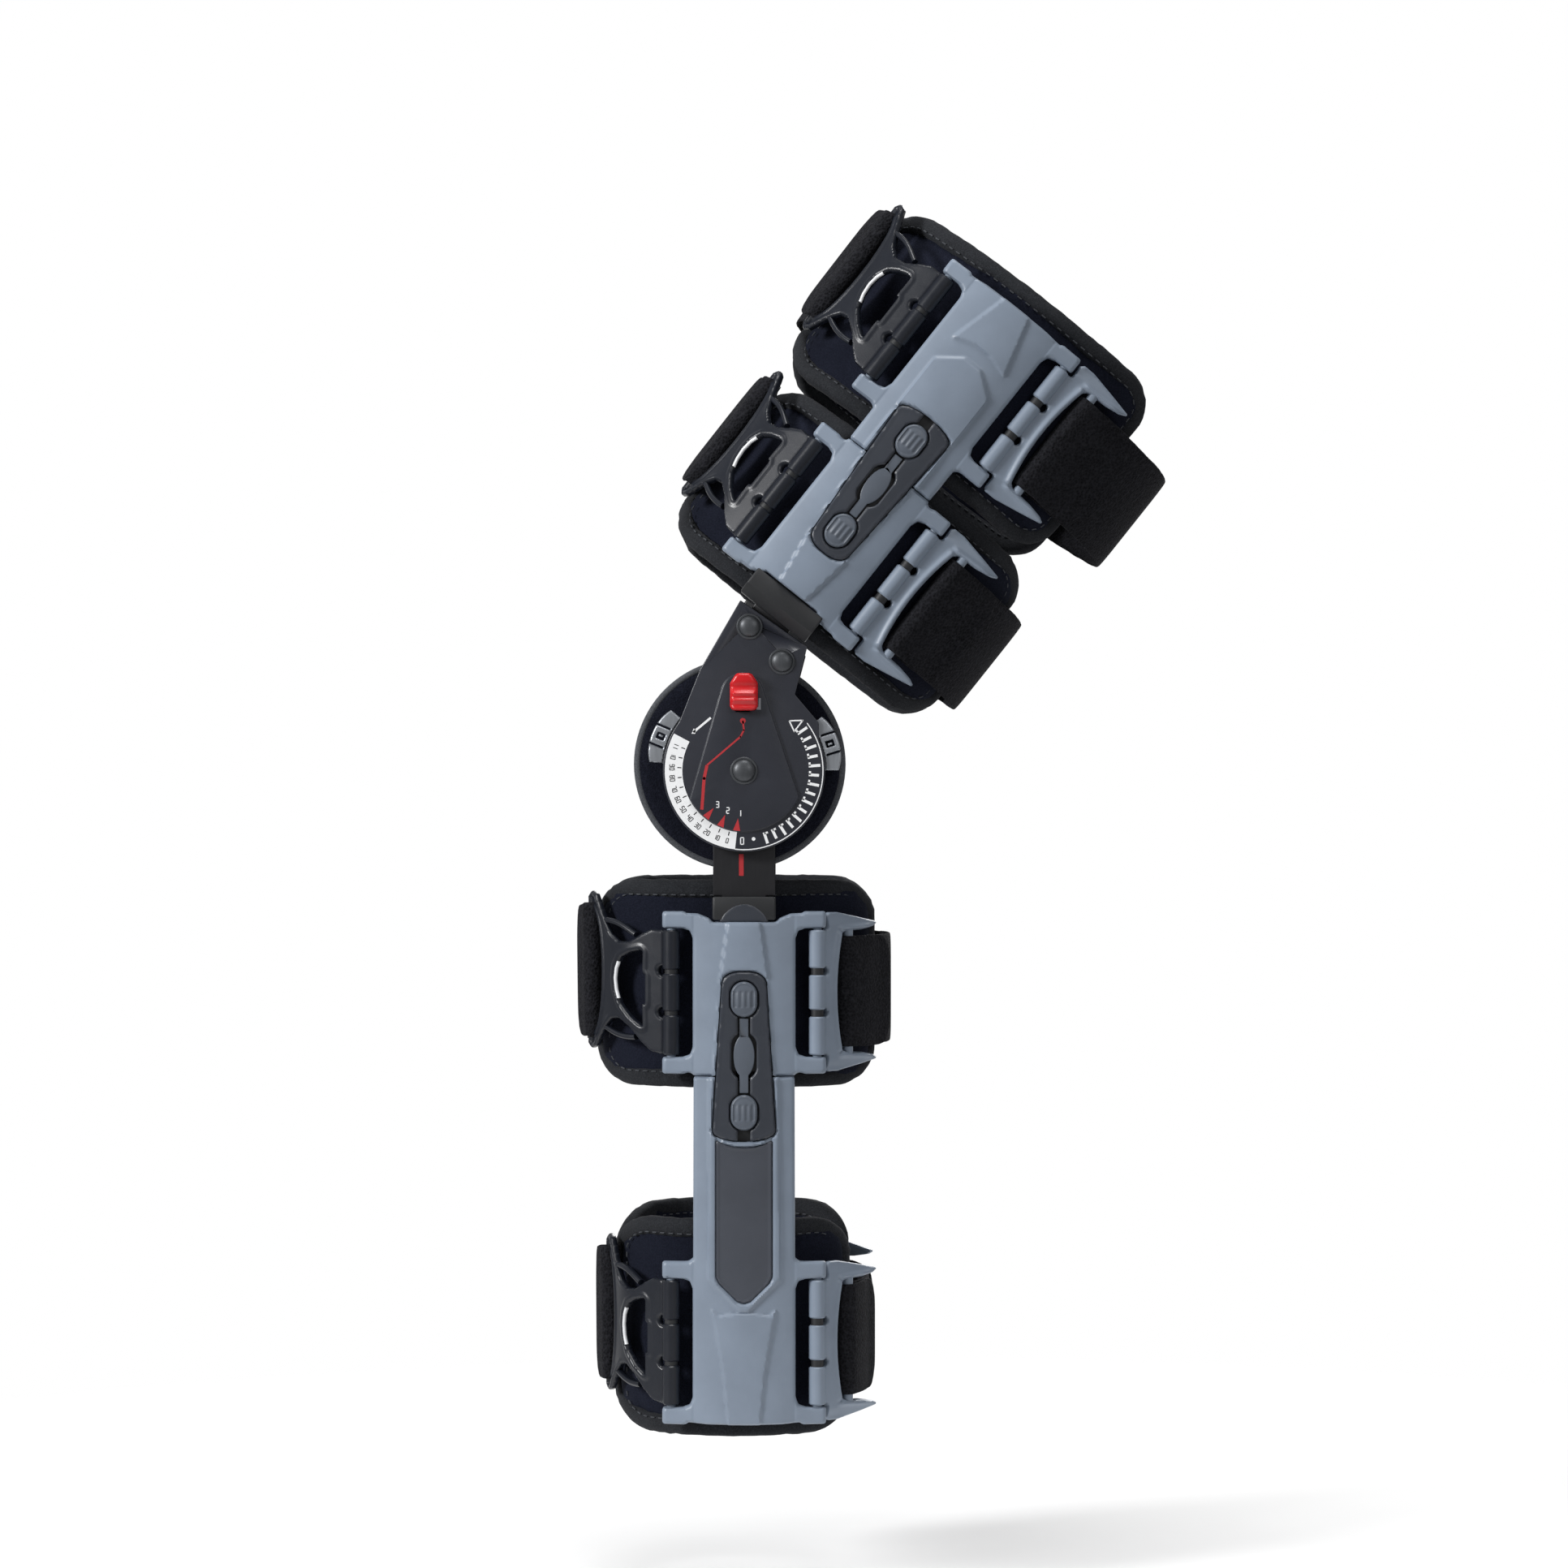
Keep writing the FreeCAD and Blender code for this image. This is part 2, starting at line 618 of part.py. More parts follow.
def make_thigh_upright():
    """Upper hinge plate and bar in one: it steps outwards between the hinge and the thigh shells."""
    body = new_body("thigh_upright")
    bottom, thick = D.plate_inner, f"{D.plate_outer} - {D.plate_inner}"
    outer_pad(body, lambda sketch: circle(sketch, "0", "0", D.plate_radius), bottom, thick)
    arm = [("-26", "12"), ("-4", "26"), ("-6", "40"), ("-15", "59.5"), ("-47", "57.5"), ("-44", "31")]
    outer_pad(body, lambda sketch: outline(sketch, arm), bottom, thick)
    sketch = new_sketch(body, "YZ_Plane", f"{D.thigh_axis} - {D.bar_width} / 2")
    inner = f"{D.thigh_face} + {D.bar_gap}"
    outer = f"{inner} + {D.bar_thick}"
    jog, top = D.jog_start, f"{D.jog_start} + {D.jog_rise}"
    side = [(D.plate_inner, "50"), (D.plate_outer, "50"), (D.plate_outer, jog), (outer, top)]
    side += [(outer, D.thigh_bar_end), (inner, D.thigh_bar_end)]
    side += [(inner, f"{top} + 1.2"), (D.plate_inner, f"{jog} + 1.2")]
    outline(sketch, [(f"-({depth})", height) for depth, height in side])
    pad(body, sketch, D.bar_width)
    holes = [("0", "0", D.bore_radius), (D.rivet_one_x, D.rivet_one_z, D.rivet_radius)]
    holes += [(D.rivet_two_x, D.rivet_two_z, D.rivet_radius)]
    for hole in holes:
        outer_pocket(
            body,
            lambda s, hole=hole: circle(s, *hole),
            f"{D.plate_outer} + 0.1",
            f"{thick} + 0.2",
        )
    latch_holes(body, THIGH, f"{outer} + 1")
    return bend_with_thigh(body)


def teardrop(sketch):
    """Raised cover of the lock: a round end about the pivot that narrows round the lock button."""
    points = [("-24.5", "-12.3"), ("24.5", "-12.3"), ("8.8", "38"), ("-8.8", "38")]
    outline(sketch, points, arcs={0: f"-{D.scale_radius}", 2: "-9.6"})


def lock_slot(sketch):
    reach = f"({D.lock_foot_long} / 2 + 0.4)"
    high = f"{D.lock_radius} + {reach}"
    low = f"{D.lock_radius} - {D.lock_travel} - {reach}"
    half = f"({D.lock_foot_wide} / 2 + 0.3)"
    rectangle(sketch, f"-{half}", half, low, high)


def make_dial_cover():
    """Hinge cover: the round dial, the riveted arm that leans forward, and the raised teardrop."""
    body = new_body("dial_cover")
    bottom, thick = D.cover_inner, f"{D.cover_outer} - {D.cover_inner}"
    outer_pad(body, lambda sketch: circle(sketch, "0", "0", D.dial_radius), bottom, thick)
    arm = [("-34.3", "-8"), ("22", "26.5"), ("13", "37.8"), ("-3.4", "41"), ("-12.4", "61.4")]
    arm += [("-49", "59"), ("-43.7", "23")]
    outer_pad(body, lambda sketch: outline(sketch, arm), bottom, thick)
    outer_pad(body, teardrop, bottom, f"{D.tear_outer} - {D.cover_inner}", D.lock_turn)
    top, deep = f"{D.tear_outer} + 1", f"{D.tear_outer} - {D.cover_inner} + 2"
    outer_pocket(body, lock_slot, top, deep, D.lock_turn)
    holes = [("0", "0", D.bore_radius), (D.rivet_one_x, D.rivet_one_z, D.rivet_radius)]
    holes += [(D.rivet_two_x, D.rivet_two_z, D.rivet_radius)]
    for hole in holes:
        outer_pocket(body, lambda s, hole=hole: circle(s, *hole), top, deep)
    return bend_with_thigh(body)


def make_lock():
    """Drop-lock slider: a ribbed thumb button on a foot that passes through the cover's slot."""
    body = new_body("drop_lock")
    half, reach = f"{D.lock_wide} / 2", f"{D.lock_long} / 2"
    seat = f"{D.tear_outer} + 0.15"

    def button(sketch):
        low, high = f"{D.lock_radius} - {reach}", f"{D.lock_radius} + {reach}"
        points = [(f"-{half}", f"{low} + 1.5"), (f"-{half} + 1.5", low), (f"{half} - 1.5", low)]
        points += [(half, f"{low} + 1.5"), (half, f"{high} - 5"), (f"-{half}", f"{high} - 5")]
        outline(sketch, points, arcs={4: "-6.6"})

    def foot(sketch):
        wide, long = f"{D.lock_foot_wide} / 2", f"{D.lock_foot_long} / 2"
        low, high = f"{D.lock_radius} - {long}", f"{D.lock_radius} + {long}"
        rectangle(sketch, f"-{wide}", wide, low, high)

    outer_pad(body, foot, f"{D.cover_inner} + 0.2", f"{D.tear_outer} - {D.cover_inner}", D.lock_turn)
    outer_pad(body, button, seat, f"{D.lock_top} - ({seat})", D.lock_turn)
    return bend_with_thigh(body)


def sector(name, radius, bottom, top, start, sweep):
    """A slice of a disc about the hinge axis, from angle start, measured from +X towards +Z."""
    piece = bound("Part::Cylinder", name, Radius=radius, Height=f"({top}) - ({bottom})")
    piece.Angle = sweep
    turn = OUTWARD.multiply(Rotation(Vector(0, 0, 1), start))
    return move(piece, "0", bottom, "0", turn)


def make_stop(name, base, lip):
    """Range-of-motion stop: a slider round the dial's rim, with a finger lip outside the dial."""
    bottom, top = f"{D.plate_inner} + 0.1", D.plate_outer
    slab = sector(f"{name}_slab", D.stop_outer, bottom, top, *base)
    core = boss(f"{name}_core", D.stop_inner, f"{bottom} - 1", f"{top} + 1")
    raised = sector(f"{name}_lip", D.stop_outer, bottom, D.stop_top, *lip)
    room = boss(f"{name}_room", D.stop_lip, f"{bottom} - 1", f"{D.stop_top} + 1")
    ring, edge = cut(f"{name}_ring", slab, core), cut(f"{name}_edge", raised, room)
    return bend_with_thigh(fused(name, [ring, edge]))


def make_condyle_pad():
    """Round foam pad between the hinge and the knee, hollowed behind for the pivot's foot."""
    place = (D.condyle_x, D.condyle_z)
    disc = boss("condyle_disc", D.condyle_radius, D.pad_inner, D.pad_outer, *place)
    doc.recompute()
    soft = doc.addObject("Part::Fillet", "condyle_soft")
    soft.Base = disc
    rims = [n for n, e in enumerate(disc.Shape.Edges, start=1) if e.Closed]
    soft.Edges = [(n, 3.0, 3.0) for n in rims]
    hollow = boss("condyle_hollow", f"{D.pivot_foot} + 1", f"{D.pad_outer} - 2", f"{D.pad_outer} + 1")
    return cut("condyle_pad", soft, hollow)


def make_pivot_rivet():
    shaft = boss("pivot_shaft", D.pivot_radius, "60.8", f"{D.tear_outer} + 0.6")
    foot = boss("pivot_foot", D.pivot_foot, "60.7", f"{D.arm_inner} - 0.15")
    head = boss("pivot_head", D.pivot_head, f"{D.tear_outer} + 0.1", f"{D.tear_outer} + 2.6")
    return bend_with_thigh(fused("pivot_rivet", [shaft, foot, domed(head, 1.6)]))


def domed(piece, radius):
    """Rounds the outward rim of a round head."""
    doc.recompute()
    result = doc.addObject("Part::Fillet", f"{piece.Name}_domed")
    result.Base = piece
    result.Edges = [(outward_rim(piece.Shape), radius, radius)]
    return result


def make_arm_rivet(number, across, height):
    name = f"arm_rivet_{number}"
    place = (across, height)
    shaft = boss(f"{name}_shaft", f"{D.rivet_radius} - 0.05", "64.8", "72.9", *place)
    tail = boss(f"{name}_tail", "4.3", "64.2", f"{D.plate_inner} - 0.05", *place)
    head = boss(f"{name}_head", D.rivet_head, f"{D.cover_outer} + 0.05", "74.6", *place)
    return bend_with_thigh(fused(name, [shaft, tail, domed(head, 1.5)]))


def make_washer():
    ring = boss("washer_disc", D.washer_radius, f"{D.arm_outer} + 0.05", f"{D.plate_inner} - 0.05")
    hole = boss("washer_hole", f"{D.bore_radius} + 0.15", D.arm_inner, D.plate_outer)
    return cut("washer", ring, hole)


def make_thigh_sleeve():
    """Sleeve over the step in the thigh bar, between the dial cover and the near shell."""
    body = new_body("thigh_sleeve")
    inner = f"{D.thigh_face} + {D.bar_gap}"
    outer = f"{inner} + {D.bar_thick}"
    low, high = f"{D.jog_start} + 0.3", f"{D.thigh_near} - 0.2"
    jog, top = D.jog_start, f"{D.jog_start} + {D.jog_rise}"
    sketch = new_sketch(body, "YZ_Plane", f"{D.thigh_axis} - 18.5")
    skin = [("63.8", low), ("75", low), (f"{outer} + 3", f"{low} + 5"), (f"{outer} + 3", high)]
    skin += [(f"{inner} - 3.4", high), ("63.8", f"{low} + 7")]
    outline(sketch, [(f"-({depth})", height) for depth, height in skin])
    pad(body, sketch, "37")
    reach = f"({D.bar_width} / 2 + 0.1)"
    bar = new_sketch(body, "YZ_Plane", f"{D.thigh_axis} + {reach}")
    room = 0.1
    side = [(f"{D.plate_inner} - {room}", "55"), (f"{D.plate_outer} + {room}", "55")]
    side += [(f"{D.plate_outer} + {room}", f"{jog} - {room}"), (f"{outer} + {room}", f"{top} - {room}")]
    side += [(f"{outer} + {room}", "90"), (f"{inner} - {room}", "90")]
    side += [(f"{inner} - {room}", f"{top} + 1.3"), (f"{D.plate_inner} - {room}", f"{jog} + 1.3")]
    outline(bar, [(f"-({depth})", height) for depth, height in side])
    pocket(body, bar, f"2 * {reach}")
    return bend_with_thigh(body)


def make_shank_sleeve():
    """Sleeve that closes the top of the shank's near shell round the bar."""
    body = new_body("shank_sleeve")
    high, low = f"-({D.neck_end} + 0.3)", f"-({D.shank_near} - 0.2)"
    half = f"{D.neck_width} / 2 + 0.3"
    outer_pad(body, lambda s: rectangle(s, f"-({half})", half, low, high), "60.3", "8.4")
    sketch = new_sketch(body, "XY_Plane", f"{high} + 1")
    reach = f"({D.bar_width} / 2 + 0.1)"
    inner, outer = f"{D.arm_inner} - 0.1", f"{D.arm_outer} + 0.1"
    rectangle(sketch, f"-{reach}", reach, f"-({outer})", f"-({inner})")
    pocket(body, sketch, "20")
    return body


# ---------------------------------------------------------------- levels: pads, straps, anchors
class Level:
    """One of the four cuffs round the leg, at a frame of one of the shells."""

    def __init__(self, name, limb, far):
        self.name, self.limb, self.far = name, limb, far
        start = far_frame_start(limb) if far else near_frame_start(limb)
        self.middle = f"{start} + {D.frame_height} / 2"
        self.centre, self.half = f"Dims.{name}_centre", f"Dims.{name}_half"
        self.half_width = D.thigh_half_width if limb is THIGH else D.calf_half_width
        self.turn = D.thigh_loop_turn if limb is THIGH else D.calf_loop_turn
        self.buckle_turn = f"Dims.{name}_turn"


LEVELS = [
    Level("upper_thigh", THIGH, True),
    Level("lower_thigh", THIGH, False),
    Level("upper_calf", SHANK, False),
    Level("lower_calf", SHANK, True),
]
# each cuff pad's start and end station, and how far it reaches forward and back of the leg's centre
PAD_REACH = {
    "upper_thigh": (157.5, 250.0, 82.0, 62.0),
    "lower_thigh": (65.0, 151.5, 74.0, 69.0),
    "upper_calf": (50.0, 143.0, 62.0, 60.0),
    "lower_calf": (204.0, 301.0, 53.5, 49.0),
}


def ellipse_prism(name, level, growth, low, height):
    """A prism of the leg's oval section at one cuff, grown outwards by an expression."""
    oval = doc.addObject("Part::Ellipse", f"{name}_oval")
    deep, wide = f"{level.half} + {growth}", f"{level.half_width} + {growth}"
    if float(sheet.evalExpression(deep)) < float(sheet.evalExpression(wide)):
        oval.Placement = Placement(Vector(), Rotation(Vector(0, 0, 1), 90))
        deep, wide = wide, deep
    oval.MajorRadius = float(sheet.evalExpression(deep))
    oval.setExpression("MinorRadius", wide)
    oval.setExpression("MajorRadius", deep)
    oval.setExpression("Placement.Base.x", level.centre)
    oval.Placement.Base.z = low
    prism = doc.addObject("Part::Extrusion", name)
    prism.Base = oval
    prism.DirMode = "Custom"
    prism.Dir = Vector(0, 0, 1)
    prism.LengthFwd = height
    prism.Solid = True
    return prism


def make_cuff_pad(level):
    """Foam pad inside one frame: part of an oval tube round the leg's side."""
    near, far, front, back = PAD_REACH[level.name]
    name = f"{level.name}_pad"
    low = near if level.limb is THIGH else -far
    height = far - near
    outer = ellipse_prism(f"{name}_outer", level, D.pad_thick, low, height)
    inner = ellipse_prism(f"{name}_inner", level, "0", low - 1, height + 2)
    tube = cut(f"{name}_tube", outer, inner)
    side = new_body(f"{name}_side")
    left, right = f"{level.centre} - {front}", f"{level.centre} + {back}"
    outer_pad(side, lambda s: rounded_rectangle(s, left, right, str(low), str(low + height)), "0.5", "100")
    if level.name == "lower_thigh":
        reach = D.sleeve_relief

        def relief(sketch):
            rectangle(sketch, THIGH.across(f"-{reach}"), THIGH.across(reach), "60", "77")

        outer_pocket(side, relief, "101", f"101 - {D.relief_depth}")
    return in_limb(common(name, [tube, side]), level.limb)


def pin_depth(limb):
    return limb.out(D.pin_depth)


def read(expression):
    return float(sheet.evalExpression(expression))


def anchor_placement(level, side, angle):
    """Where a loop or buckle sits: on the pin at side (+1 back, -1 front), turned about it."""
    limb = level.limb
    across, depth = read(limb.across(f"{side} * {D.pin_offset}")), read(pin_depth(limb))
    height = read(limb.along(level.middle))
    seat = Placement(Vector(across, -depth, height), Rotation(Vector(0, 0, 1), angle))
    posture = Rotation(THIGH_AXIS, V.flexion if limb is THIGH else 0.0)
    return Placement(Vector(), posture).multiply(seat)


def barrel_section(sketch):
    circle(sketch, "0", "0", D.barrel_radius)
    circle(sketch, "0", "0", D.barrel_bore)


def add_barrel(body):
    """The split barrel that clips on a frame's pin."""
    sketch = new_sketch(body, "XY_Plane", f"-{D.barrel_length} / 2")
    barrel_section(sketch)
    pad(body, sketch, D.barrel_length)


def notch_barrel(body, side):
    """Two gaps in the barrel's far side, which let it spring over the pin."""
    for height in ("-9.4", "9.4"):
        sketch = new_sketch(body, "XZ_Plane", "5")
        outline_side = (f"{side} * 0.6", f"{side} * 5")
        low, high = f"{height} - 1.6", f"{height} + 1.6"
        rectangle(sketch, *outline_side, low, high)
        pocket(body, sketch, "10")


def make_loop(level):
    """Strap loop: a split barrel, a beam, a rod that the strap turns round, and two guide fingers."""
    body = new_body(f"{level.name}_loop")
    add_barrel(body)
    tall, web = f"{D.beam_height} / 2", f"{D.barrel_length} / 2"
    bottom, thick = "-1.8", D.finger_thick
    outer_pad(body, lambda s: rectangle(s, "2.9", "6", f"-{web}", web), bottom, thick)
    near, far = D.beam_near, D.beam_far
    outer_pad(body, lambda s: rectangle(s, near, far, f"-({tall})", tall), bottom, f"{thick} + 0.6")
    reach, inner = D.finger_reach, D.finger_inner
    finger = [(f"{far} - 1", inner), (far, tall), (f"{far} + 2", tall), (reach, f"{inner} + 4.5")]
    finger += [(f"{reach} - 2", f"{inner} + 2")]
    for way in (1, -1):
        points = [(x, f"{way} * ({z})") for x, z in finger]
        outer_pad(body, lambda s, points=points: outline(s, points), bottom, thick)
    rod = new_sketch(body, "XY_Plane", f"-({inner} + 2)")
    circle(rod, D.rod_reach, "0.5", D.rod_radius)
    pad(body, rod, f"2 * ({inner} + 2)")
    notch_barrel(body, -1)
    body.Placement = anchor_placement(level, 1, read(level.turn))
    return body


# half of the buckle's outline: reach from the pin, and height above its middle
BUCKLE_EDGE = [("3", "27.5"), ("9", "26.5"), ("21", "16"), ("33", "14.5"), ("42", "26"), ("48.5", "35")]
BUCKLE_EDGE += [("53", "36"), ("53", "48"), ("-5", "48"), ("-5", "28.3"), ("3", "28.3")]
BUCKLE_WINDOW = [("12", "17"), ("27", "13"), ("27", "-13"), ("12", "-17")]
BUCKLE_CRESCENT = [("56", "26.5"), ("45.6", "26.5"), ("45.6", "-26.5"), ("56", "-26.5")]


def lever_points(points, way=1):
    """Places points on the lever, which leans up the leg towards its end."""
    lean = f"{D.buckle_rise} / {D.buckle_reach}"
    return [(f"-({x})", f"{way} * ({z}) + {lean} * max({x}; 0)") for x, z in points]


def make_buckle(level):
    """Quick-release buckle: a barrel and an X-shaped lever, curved round the leg, with an end rod."""
    body = new_body(f"{level.name}_buckle")
    add_barrel(body)
    reach, sag = D.buckle_reach, D.buckle_sag
    radius = f"({reach}^2 / (8 * {sag}) + {sag} / 2)"
    half = f"{D.buckle_thick} / 2"
    plan = new_sketch(body, "XY_Plane", "-36")
    start, end = "-3.1", f"-({reach} + 1)"
    points = [(start, half), (start, f"-({half} + 1)"), (end, f"-{half}"), (end, half)]
    outline(plan, points, arcs={1: f"{radius} + {half}", 3: f"-({radius} - {half})"})
    pad(body, plan, f"72 + {D.buckle_rise}")
    trim = new_sketch(body, "XZ_Plane", "14")
    for way in (1, -1):
        outline(trim, lever_points(BUCKLE_EDGE, way))
    pocket(body, trim, "30")
    window, crescent = lever_points(BUCKLE_WINDOW), lever_points(BUCKLE_CRESCENT)
    outer_pocket(body, lambda s: outline(s, window, arcs={1: "-18"}), "14", "30")
    outer_pocket(body, lambda s: outline(s, crescent, arcs={1: "76"}), "14", "30")
    rod = new_sketch(body, "XY_Plane", f"{D.buckle_rise} - 35")
    circle(rod, f"-{reach}", "0", "2.2")
    pad(body, rod, "70")
    notch_barrel(body, 1)
    body.Placement = anchor_placement(level, -1, -read(level.buckle_turn))
    return body


def oval_face(deep, wide, centre):
    """A flat oval, deep from front to back and wide across the leg."""
    ellipse = Part.Ellipse(Vector(), max(deep, wide), min(deep, wide)).toShape()
    face = Part.Face(Part.Wire(ellipse))
    if deep < wide:
        face.rotate(Vector(), Vector(0, 0, 1), 90)
    face.translate(Vector(centre, 0, 0))
    return face


def half_band(deep, wide, centre, start, end, side):
    """One side of a strap: part of an oval tube between two row x positions."""
    half, tall = V.strap_thick / 2, 2 * V.strap_width
    outer = oval_face(deep + half, wide + half, centre)
    inner = oval_face(deep - half, wide - half, centre)
    tube = outer.cut(inner).extrude(Vector(0, 0, tall))
    low, high = min(start, end), max(start, end)
    corner = Vector(low, 0 if side > 0 else -120, 0)
    return tube.common(Part.makeBox(high - low, 120, tall, corner))


def make_strap(level, back):
    """A strap half-way round the leg, from an anchor on the lateral side to one on the medial. The
    front strap leans with the buckle's lever."""
    limb = level.limb
    middle, centre = read(limb.along(level.middle)), read(level.centre)
    deep = read(level.half) + V.pad_thick + V.strap_stand
    pin, pin_y = V.pin_offset, read(pin_depth(limb))
    axis, rise = read(limb.axis), 0.0
    if back:
        turn = math.radians(read(level.turn))
        across = axis + pin + V.rod_reach * math.cos(turn) - 0.5 * math.sin(turn)
        depth = pin_y - V.rod_reach * math.sin(turn) - 0.5 * math.cos(turn)
        ends, extreme = {-1: (across, depth), 1: (across, depth)}, centre + deep + 5
    else:
        turn = math.radians(read(level.buckle_turn))
        across = axis - pin - V.buckle_reach * math.cos(turn)
        depth = pin_y - V.buckle_reach * math.sin(turn)
        ends, extreme = {-1: (across, depth), 1: (axis - pin, pin_y)}, centre - deep - 5
        rise = math.degrees(math.atan2(V.buckle_rise, depth + pin_y))
    bands, eyes, bores = [], [], []
    tall = 2 * V.strap_width
    for side, (across, depth) in ends.items():
        wide = depth / math.sqrt(1 - ((across - centre) / deep) ** 2)
        bands.append(half_band(deep, wide, centre, across, extreme, side))
        foot = Vector(across, side * depth, 0)
        eyes.append(Part.makeCylinder(V.eye_radius, tall, foot))
        bores.append(Part.makeCylinder(V.eye_bore, tall, foot))
    strap = bands[0].fuse([bands[1], *eyes]).removeSplitter().cut(Part.makeCompound(bores))
    strap.translate(Vector(0, 0, middle - V.strap_width))
    width = Part.makeBox(400, 400, V.strap_width, Vector(-200, -200, middle - V.strap_width / 2))
    width.rotate(Vector(0, pin_y, middle), Vector(1, 0, 0), -rise)
    feature = doc.addObject("Part::Feature", f"{level.name}_strap")
    feature.Shape = strap.common(width)
    if limb is THIGH:
        feature.Placement = Placement(Vector(), Rotation(THIGH_AXIS, V.flexion))
    return feature


def keep_level(level):
    pads = make_cuff_pad(level)
    keep_both(f"{level.name}_pads", [pads])
    straps = doc.addObject("Part::Compound", f"{level.name}_straps")
    straps.Links = [make_strap(level, False), make_strap(level, True)]
    keep(f"{level.name}_straps", straps)
    keep(f"{level.name}_buckle", make_buckle(level))
    loop = make_loop(level)
    keep(f"{level.name}_lateral_loop", loop)
    keep(f"{level.name}_medial_loop", mirrored(loop, f"{level.name}_medial_loop"))


def build():
    for limb in (THIGH, SHANK):
        keep_sides(f"{limb.name}_near_shell", make_near_shell(limb))
        keep_sides(f"{limb.name}_far_shell", make_far_shell(limb))
        keep_both(f"{limb.name}_button_panels", [make_panel(limb)])
        keep_both(f"{limb.name}_latch_strips", [make_latch(limb)])
        for number, word in enumerate(("near", "far")):
            keep_sides(f"{limb.name}_{word}_button", make_button(limb, number))
    keep_both("badges", [make_badge()])
    keep_sides("shank_hinge_arm", make_shank_arm())
    keep_sides("thigh_hinge_bar", make_thigh_upright())
    keep_sides("dial_cover", make_dial_cover())
    keep_sides("drop_lock", make_lock())
    keep_sides("extension_stop", make_stop("extension_stop", (178, 36), (193, 20)))
    keep_sides("flexion_stop", make_stop("flexion_stop", (38, 36), (39, 20)))
    keep_sides("condyle_pad", make_condyle_pad())
    keep_both("pivot_rivets", [make_pivot_rivet()])
    rivets = [(1, D.rivet_one_x, D.rivet_one_z), (2, D.rivet_two_x, D.rivet_two_z)]
    keep_both("arm_rivets", [make_arm_rivet(*rivet) for rivet in rivets])
    keep_both("hinge_washers", [make_washer()])
    keep_both("thigh_sleeves", [make_thigh_sleeve()])
    keep_both("shank_sleeves", [make_shank_sleeve()])
    for level in LEVELS:
        keep_level(level)


def check_and_export():
    doc.recompute()
    for item in doc.Objects:
        if {"Invalid", "Error"} & set(item.State):
            raise RuntimeError(f"{item.Label} failed: {item.State}")
    os.makedirs("parts", exist_ok=True)
    for old in os.listdir("parts"):
        os.remove(os.path.join("parts", old))
    for name, piece in NODES.items():
        shape = piece.Shape
        if shape.isNull() or not shape.isValid() or not shape.Solids:
            raise RuntimeError(f"{name} has no valid solid")
        shape.exportStep(f"parts/{name}.step")
    print(f"{len(NODES)} nodes, {sum(len(p.Shape.Solids) for p in NODES.values())} solids")


build()
check_and_export()
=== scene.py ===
"""Looks of the hinged knee brace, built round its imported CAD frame. Shapes are worked out in
millimetres in a limb's own frame, x back, d outwards from the leg and z up the limb, and then
placed."""
import math

import bmesh
import bpy
import numpy as np
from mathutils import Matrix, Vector


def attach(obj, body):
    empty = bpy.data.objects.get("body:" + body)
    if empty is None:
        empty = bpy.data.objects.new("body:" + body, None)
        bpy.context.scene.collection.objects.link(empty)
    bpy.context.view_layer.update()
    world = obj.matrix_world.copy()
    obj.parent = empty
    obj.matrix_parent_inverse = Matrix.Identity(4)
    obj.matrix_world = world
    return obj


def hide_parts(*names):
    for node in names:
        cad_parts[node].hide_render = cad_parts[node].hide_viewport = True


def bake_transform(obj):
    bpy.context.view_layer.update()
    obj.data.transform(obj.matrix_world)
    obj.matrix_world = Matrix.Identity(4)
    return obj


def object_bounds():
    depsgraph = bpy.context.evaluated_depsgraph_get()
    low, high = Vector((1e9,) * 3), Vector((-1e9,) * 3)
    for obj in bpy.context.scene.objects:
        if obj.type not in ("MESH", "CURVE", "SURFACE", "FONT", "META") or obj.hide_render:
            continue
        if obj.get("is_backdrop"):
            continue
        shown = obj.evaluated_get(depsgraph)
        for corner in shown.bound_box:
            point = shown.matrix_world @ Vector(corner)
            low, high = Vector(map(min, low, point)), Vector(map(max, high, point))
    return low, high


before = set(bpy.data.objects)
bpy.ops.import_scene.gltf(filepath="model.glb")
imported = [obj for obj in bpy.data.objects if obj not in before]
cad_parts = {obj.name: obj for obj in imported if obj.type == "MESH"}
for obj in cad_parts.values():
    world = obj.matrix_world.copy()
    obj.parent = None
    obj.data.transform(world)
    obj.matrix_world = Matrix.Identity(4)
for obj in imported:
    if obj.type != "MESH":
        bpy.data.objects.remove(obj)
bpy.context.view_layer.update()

FLEXION = math.radians(38.5)
AXIS = {"thigh": -33.0, "shank": 0.0}
FACE = {"thigh": 70.5, "shank": 58.5}
UP = {"thigh": 1, "shank": -1}
NEAR = {"thigh": 75.5, "shank": 67.5}
SEAM = {"thigh": 146.0, "shank": 137.5}
FAR = {"thigh": 238.5, "shank": 295.0}
SIDES = {"lateral": -1, "medial": 1}
FRAME_TALL = 73.3
PIN_X, PIN_D, PIN_RADIUS = 33.0, 2.2, 2.0
PANEL_START, PANEL_LONG = 23.0, 76.6
BUTTON_AT = {"near": 12.4, "far": 63.4}
LOOP_TURN = {"thigh": 12.0, "shank": 42.0}
LOOP_REACH, LOOP_ROD, LOOP_ROD_OUT = 18.5, 2.3, 0.5
BUCKLE_REACH, BUCKLE_RISE, BUCKLE_SAG = 50.0, 9.0, 5.5


class Level:
    """One cuff: its limb and bodies, its middle height, the leg's oval and the pad's reach."""

    def __init__(self, name, limb, body, start, centre, deep, turn, pad):
        self.name, self.limb, self.body = name, limb, body
        self.middle = UP[limb] * (start + FRAME_TALL / 2)
        self.centre, self.deep, self.turn, self.pad = centre, deep, turn, pad
        self.wide = 64.0 if limb == "thigh" else 52.0


